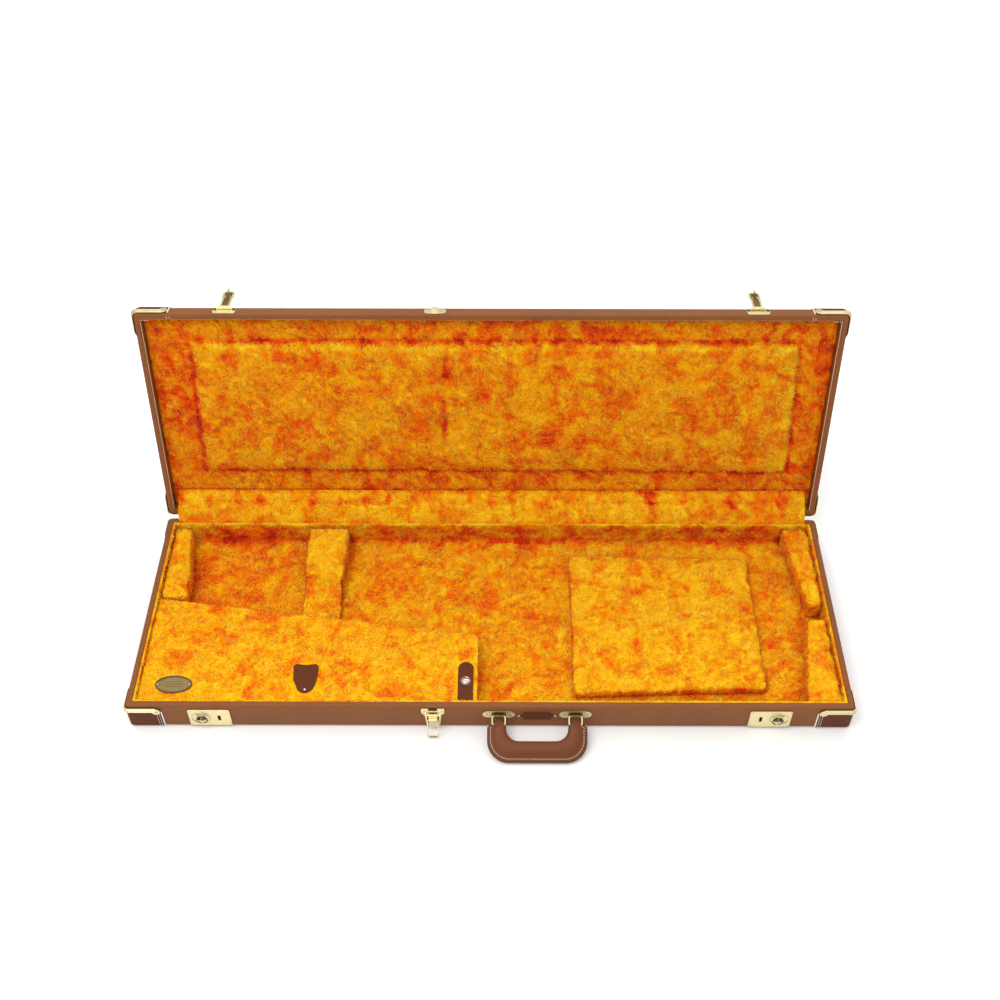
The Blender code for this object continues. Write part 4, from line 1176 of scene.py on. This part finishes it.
tray = plush_piece("plush_base_lining", tray_mesh(0.0035), "base", "base_lining",
                   0.0026, 0.7, tray_painted_light, lambda at, out: 1.0 if within(at) and at.z < 0.0498 else 0.0)


def tray_front(middles, normals):
    inner = (np.abs(middles[:, 0]) < INSIDE_X + 0.002) & (np.abs(middles[:, 1]) < INSIDE_Y + 0.002)
    covered = (middles[:, 2] < 0.040) & (middles[:, 0] < -0.03) & (middles[:, 1] < -0.05)
    return inner & (middles[:, 2] > FLOOR - 0.002) & (normals[:, 2] > -0.3) & ~covered


def under_rim(points):
    """Keeps pile below the rim and inside the walls."""
    points[:, 2] = np.minimum(points[:, 2], RIM - 0.0008)
    points[:, 0] = np.clip(points[:, 0], -INSIDE_X - 0.003, INSIDE_X + 0.003)
    points[:, 1] = np.clip(points[:, 1], -INSIDE_Y - 0.003, INSIDE_Y + 0.003)
    return points


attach(pile(tray, PILE_PER_M2, 0.0072, tray_front, under_rim), "base")


# Loose pads
# Painted light: a pad's sides and its foot by the floor are painted in shade, and its top a little lit.
def pad_painted_light(low_z, high_z):
    def painted_light(at, out):
        value = -0.50 if abs(out.z) < 0.5 else 0.05
        return value - 0.25 * (1 - ease((at.z - low_z) / 0.012)) + (0.12 if at.z > high_z - 0.004 else 0.0)
    return painted_light


def shrunk(mesh, by):
    """The mesh with its points moved in by about that much."""
    shape = bmesh.new()
    shape.from_mesh(mesh)
    shape.normal_update()
    low, high = (Vector([f(v.co[k] for v in shape.verts) for k in range(3)]) for f in (min, max))
    middle = (low + high) / 2
    for vertex in shape.verts:
        for k in range(3):
            half = (high[k] - low[k]) / 2
            vertex.co[k] = middle[k] + (vertex.co[k] - middle[k]) * (half - by) / half
    shape.to_mesh(mesh)
    shape.free()
    return mesh


for seed, (node, top_z, swell) in enumerate((("head_end_pad", 0.044, 0.0024), ("neck_support", 0.044, 0.0024),
                                             ("body_pad", 0.026, 0.0030), ("butt_pad_rear", 0.044, 0.0024),
                                             ("butt_pad_front", 0.044, 0.0024)), start=1):
    soft = shrunk(cad_mesh(node), 0.0004)
    soft = remeshed(soft, 0.0050 if node == "body_pad" else 0.0042)
    soft = inflated(soft, swell)
    soft = finer(soft)
    pad = plush_piece(f"plush_{node}", soft, "base", node, 0.0024, 1.3 * seed, pad_painted_light(0.0086, top_z),
                      rare=0.28)
    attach(pile(pad, PILE_PER_M2, 0.0055, lambda middles, normals: middles[:, 2] > 0.012, under_rim), "base")


# The compartment's wall and lid
# Painted light: the board's sides are painted in shade, and its top lit brighter along the edges by the wall and the
# front.
def board_painted_light(at, out):
    edge = min(abs(at.x + 0.0190), abs(at.y + 0.1719), 1.0)
    return (0.10 if out.z > 0.5 else -0.35) + 0.45 * (1 - ease(edge / 0.008)) * (out.z > 0.2)


wall = remeshed(cad_mesh("compartment_wall"), 0.0024)
# The wall is painted darker towards the floor: painted shade.
plush_piece("plush_compartment_wall", wall, "base", "compartment_wall", 0.0009, 9.0,
            lambda at, out: -0.30 + 0.4 * ease((at.z - 0.030) / 0.010))
board = remeshed(shrunk(cad_mesh("compartment_lid"), -0.0006), 0.0020)
board = plush_piece("plush_compartment_lid", board, "compartment_lid", "compartment_lid", 0.0011, 5.5,
                    board_painted_light, rare=0.28)


def board_front(middles, normals):
    """Leaves the tab, the strap and the badge clear."""
    x, y = middles[:, 0], middles[:, 1]
    tab = (np.abs(x + 0.277) < 0.020) & (y < -0.104)
    strap = (np.abs(x + 0.0365) < 0.0135) & (y < -0.100)
    oval_part = ((x - badge.x) / 0.031) ** 2 + ((y - badge.y) / 0.019) ** 2 < 1
    return (normals[:, 2] > -0.5) & ~((tab | strap | oval_part) & (normals[:, 2] > 0.3))


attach(pile(board, PILE_PER_M2 * 1.2, 0.0055, board_front, under_rim), "compartment_lid")


# The flap over the hinge line
FLAP_WIDE = 0.517
lid_end, base_end = LID @ Vector((0, FLAP_SEAM, 0.0684)), Vector((0, 0.1738, 0.0496))


def flap_point(x, t):
    """A point of the flap, from the lid's seam at t 0 to the base's rear wall at t 1."""
    line = lid_end.lerp(base_end, t)
    out = Vector((0, -0.663, 0.749))
    belly = math.sin(math.pi * t)
    fold = 0.0024 * math.cos(2 * math.pi * x / 0.052 + 5 * noise.noise(Vector((x * 9, 0, 0))))
    fold += 0.0016 * noise.noise(Vector((x * 40, t * 1.5, 4)))
    crease = -0.0016 * math.exp(-((t - 0.40) / 0.05) ** 2)
    return Vector((x, line.y, line.z)) + out * (0.0042 * belly + fold * belly + crease)


# Painted light: shade at the lid's seam, in a ragged crease across the flap, in the crescents of its folds and towards
# the base's rear wall.
def flap_painted_light(at, out):
    t = (at - lid_end).dot(base_end - lid_end) / (base_end - lid_end).length_squared
    moons = math.cos(2 * math.pi * at.x / 0.052 + 5 * noise.noise(Vector((at.x * 9, 0, 0))))
    ragged = noise.noise(at * 30)
    painted_light = 0.20 - 0.45 * math.exp(-((t - 0.30 - 0.2 * ragged) / 0.07) ** 2) * (0.6 + 1.5 * ragged)
    painted_light -= 0.40 * math.exp(-((t - 0.03) / 0.04) ** 2)
    moon = moons - 1.8 * abs(t - 0.28) + 0.9 * ragged
    return painted_light - 0.60 * ease((moon - 0.50) / 0.2) * (t < 0.75) - 0.30 * ease((t - 0.82) / 0.18)


flap_x = np.linspace(-FLAP_WIDE, FLAP_WIDE, 300)
flap_t = np.linspace(0, 1, 20)
thick = Vector((0, 0.663, -0.749)) * 0.0016
flap = plush_piece("plush_hinge_flap", sheet_mesh("plush_hinge_flap", flap_x, flap_t, flap_point,
                                                  lambda x, t: flap_point(x, t) + thick),
                   None, "hinge_flap", 0.0009, 2.2, flap_painted_light)
flap_pile = pile(flap, PILE_PER_M2, 0.0055, lambda middles, normals: normals @ np.array((0, -0.663, 0.749)) > 0.2)
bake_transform(flap)
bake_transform(flap_pile)
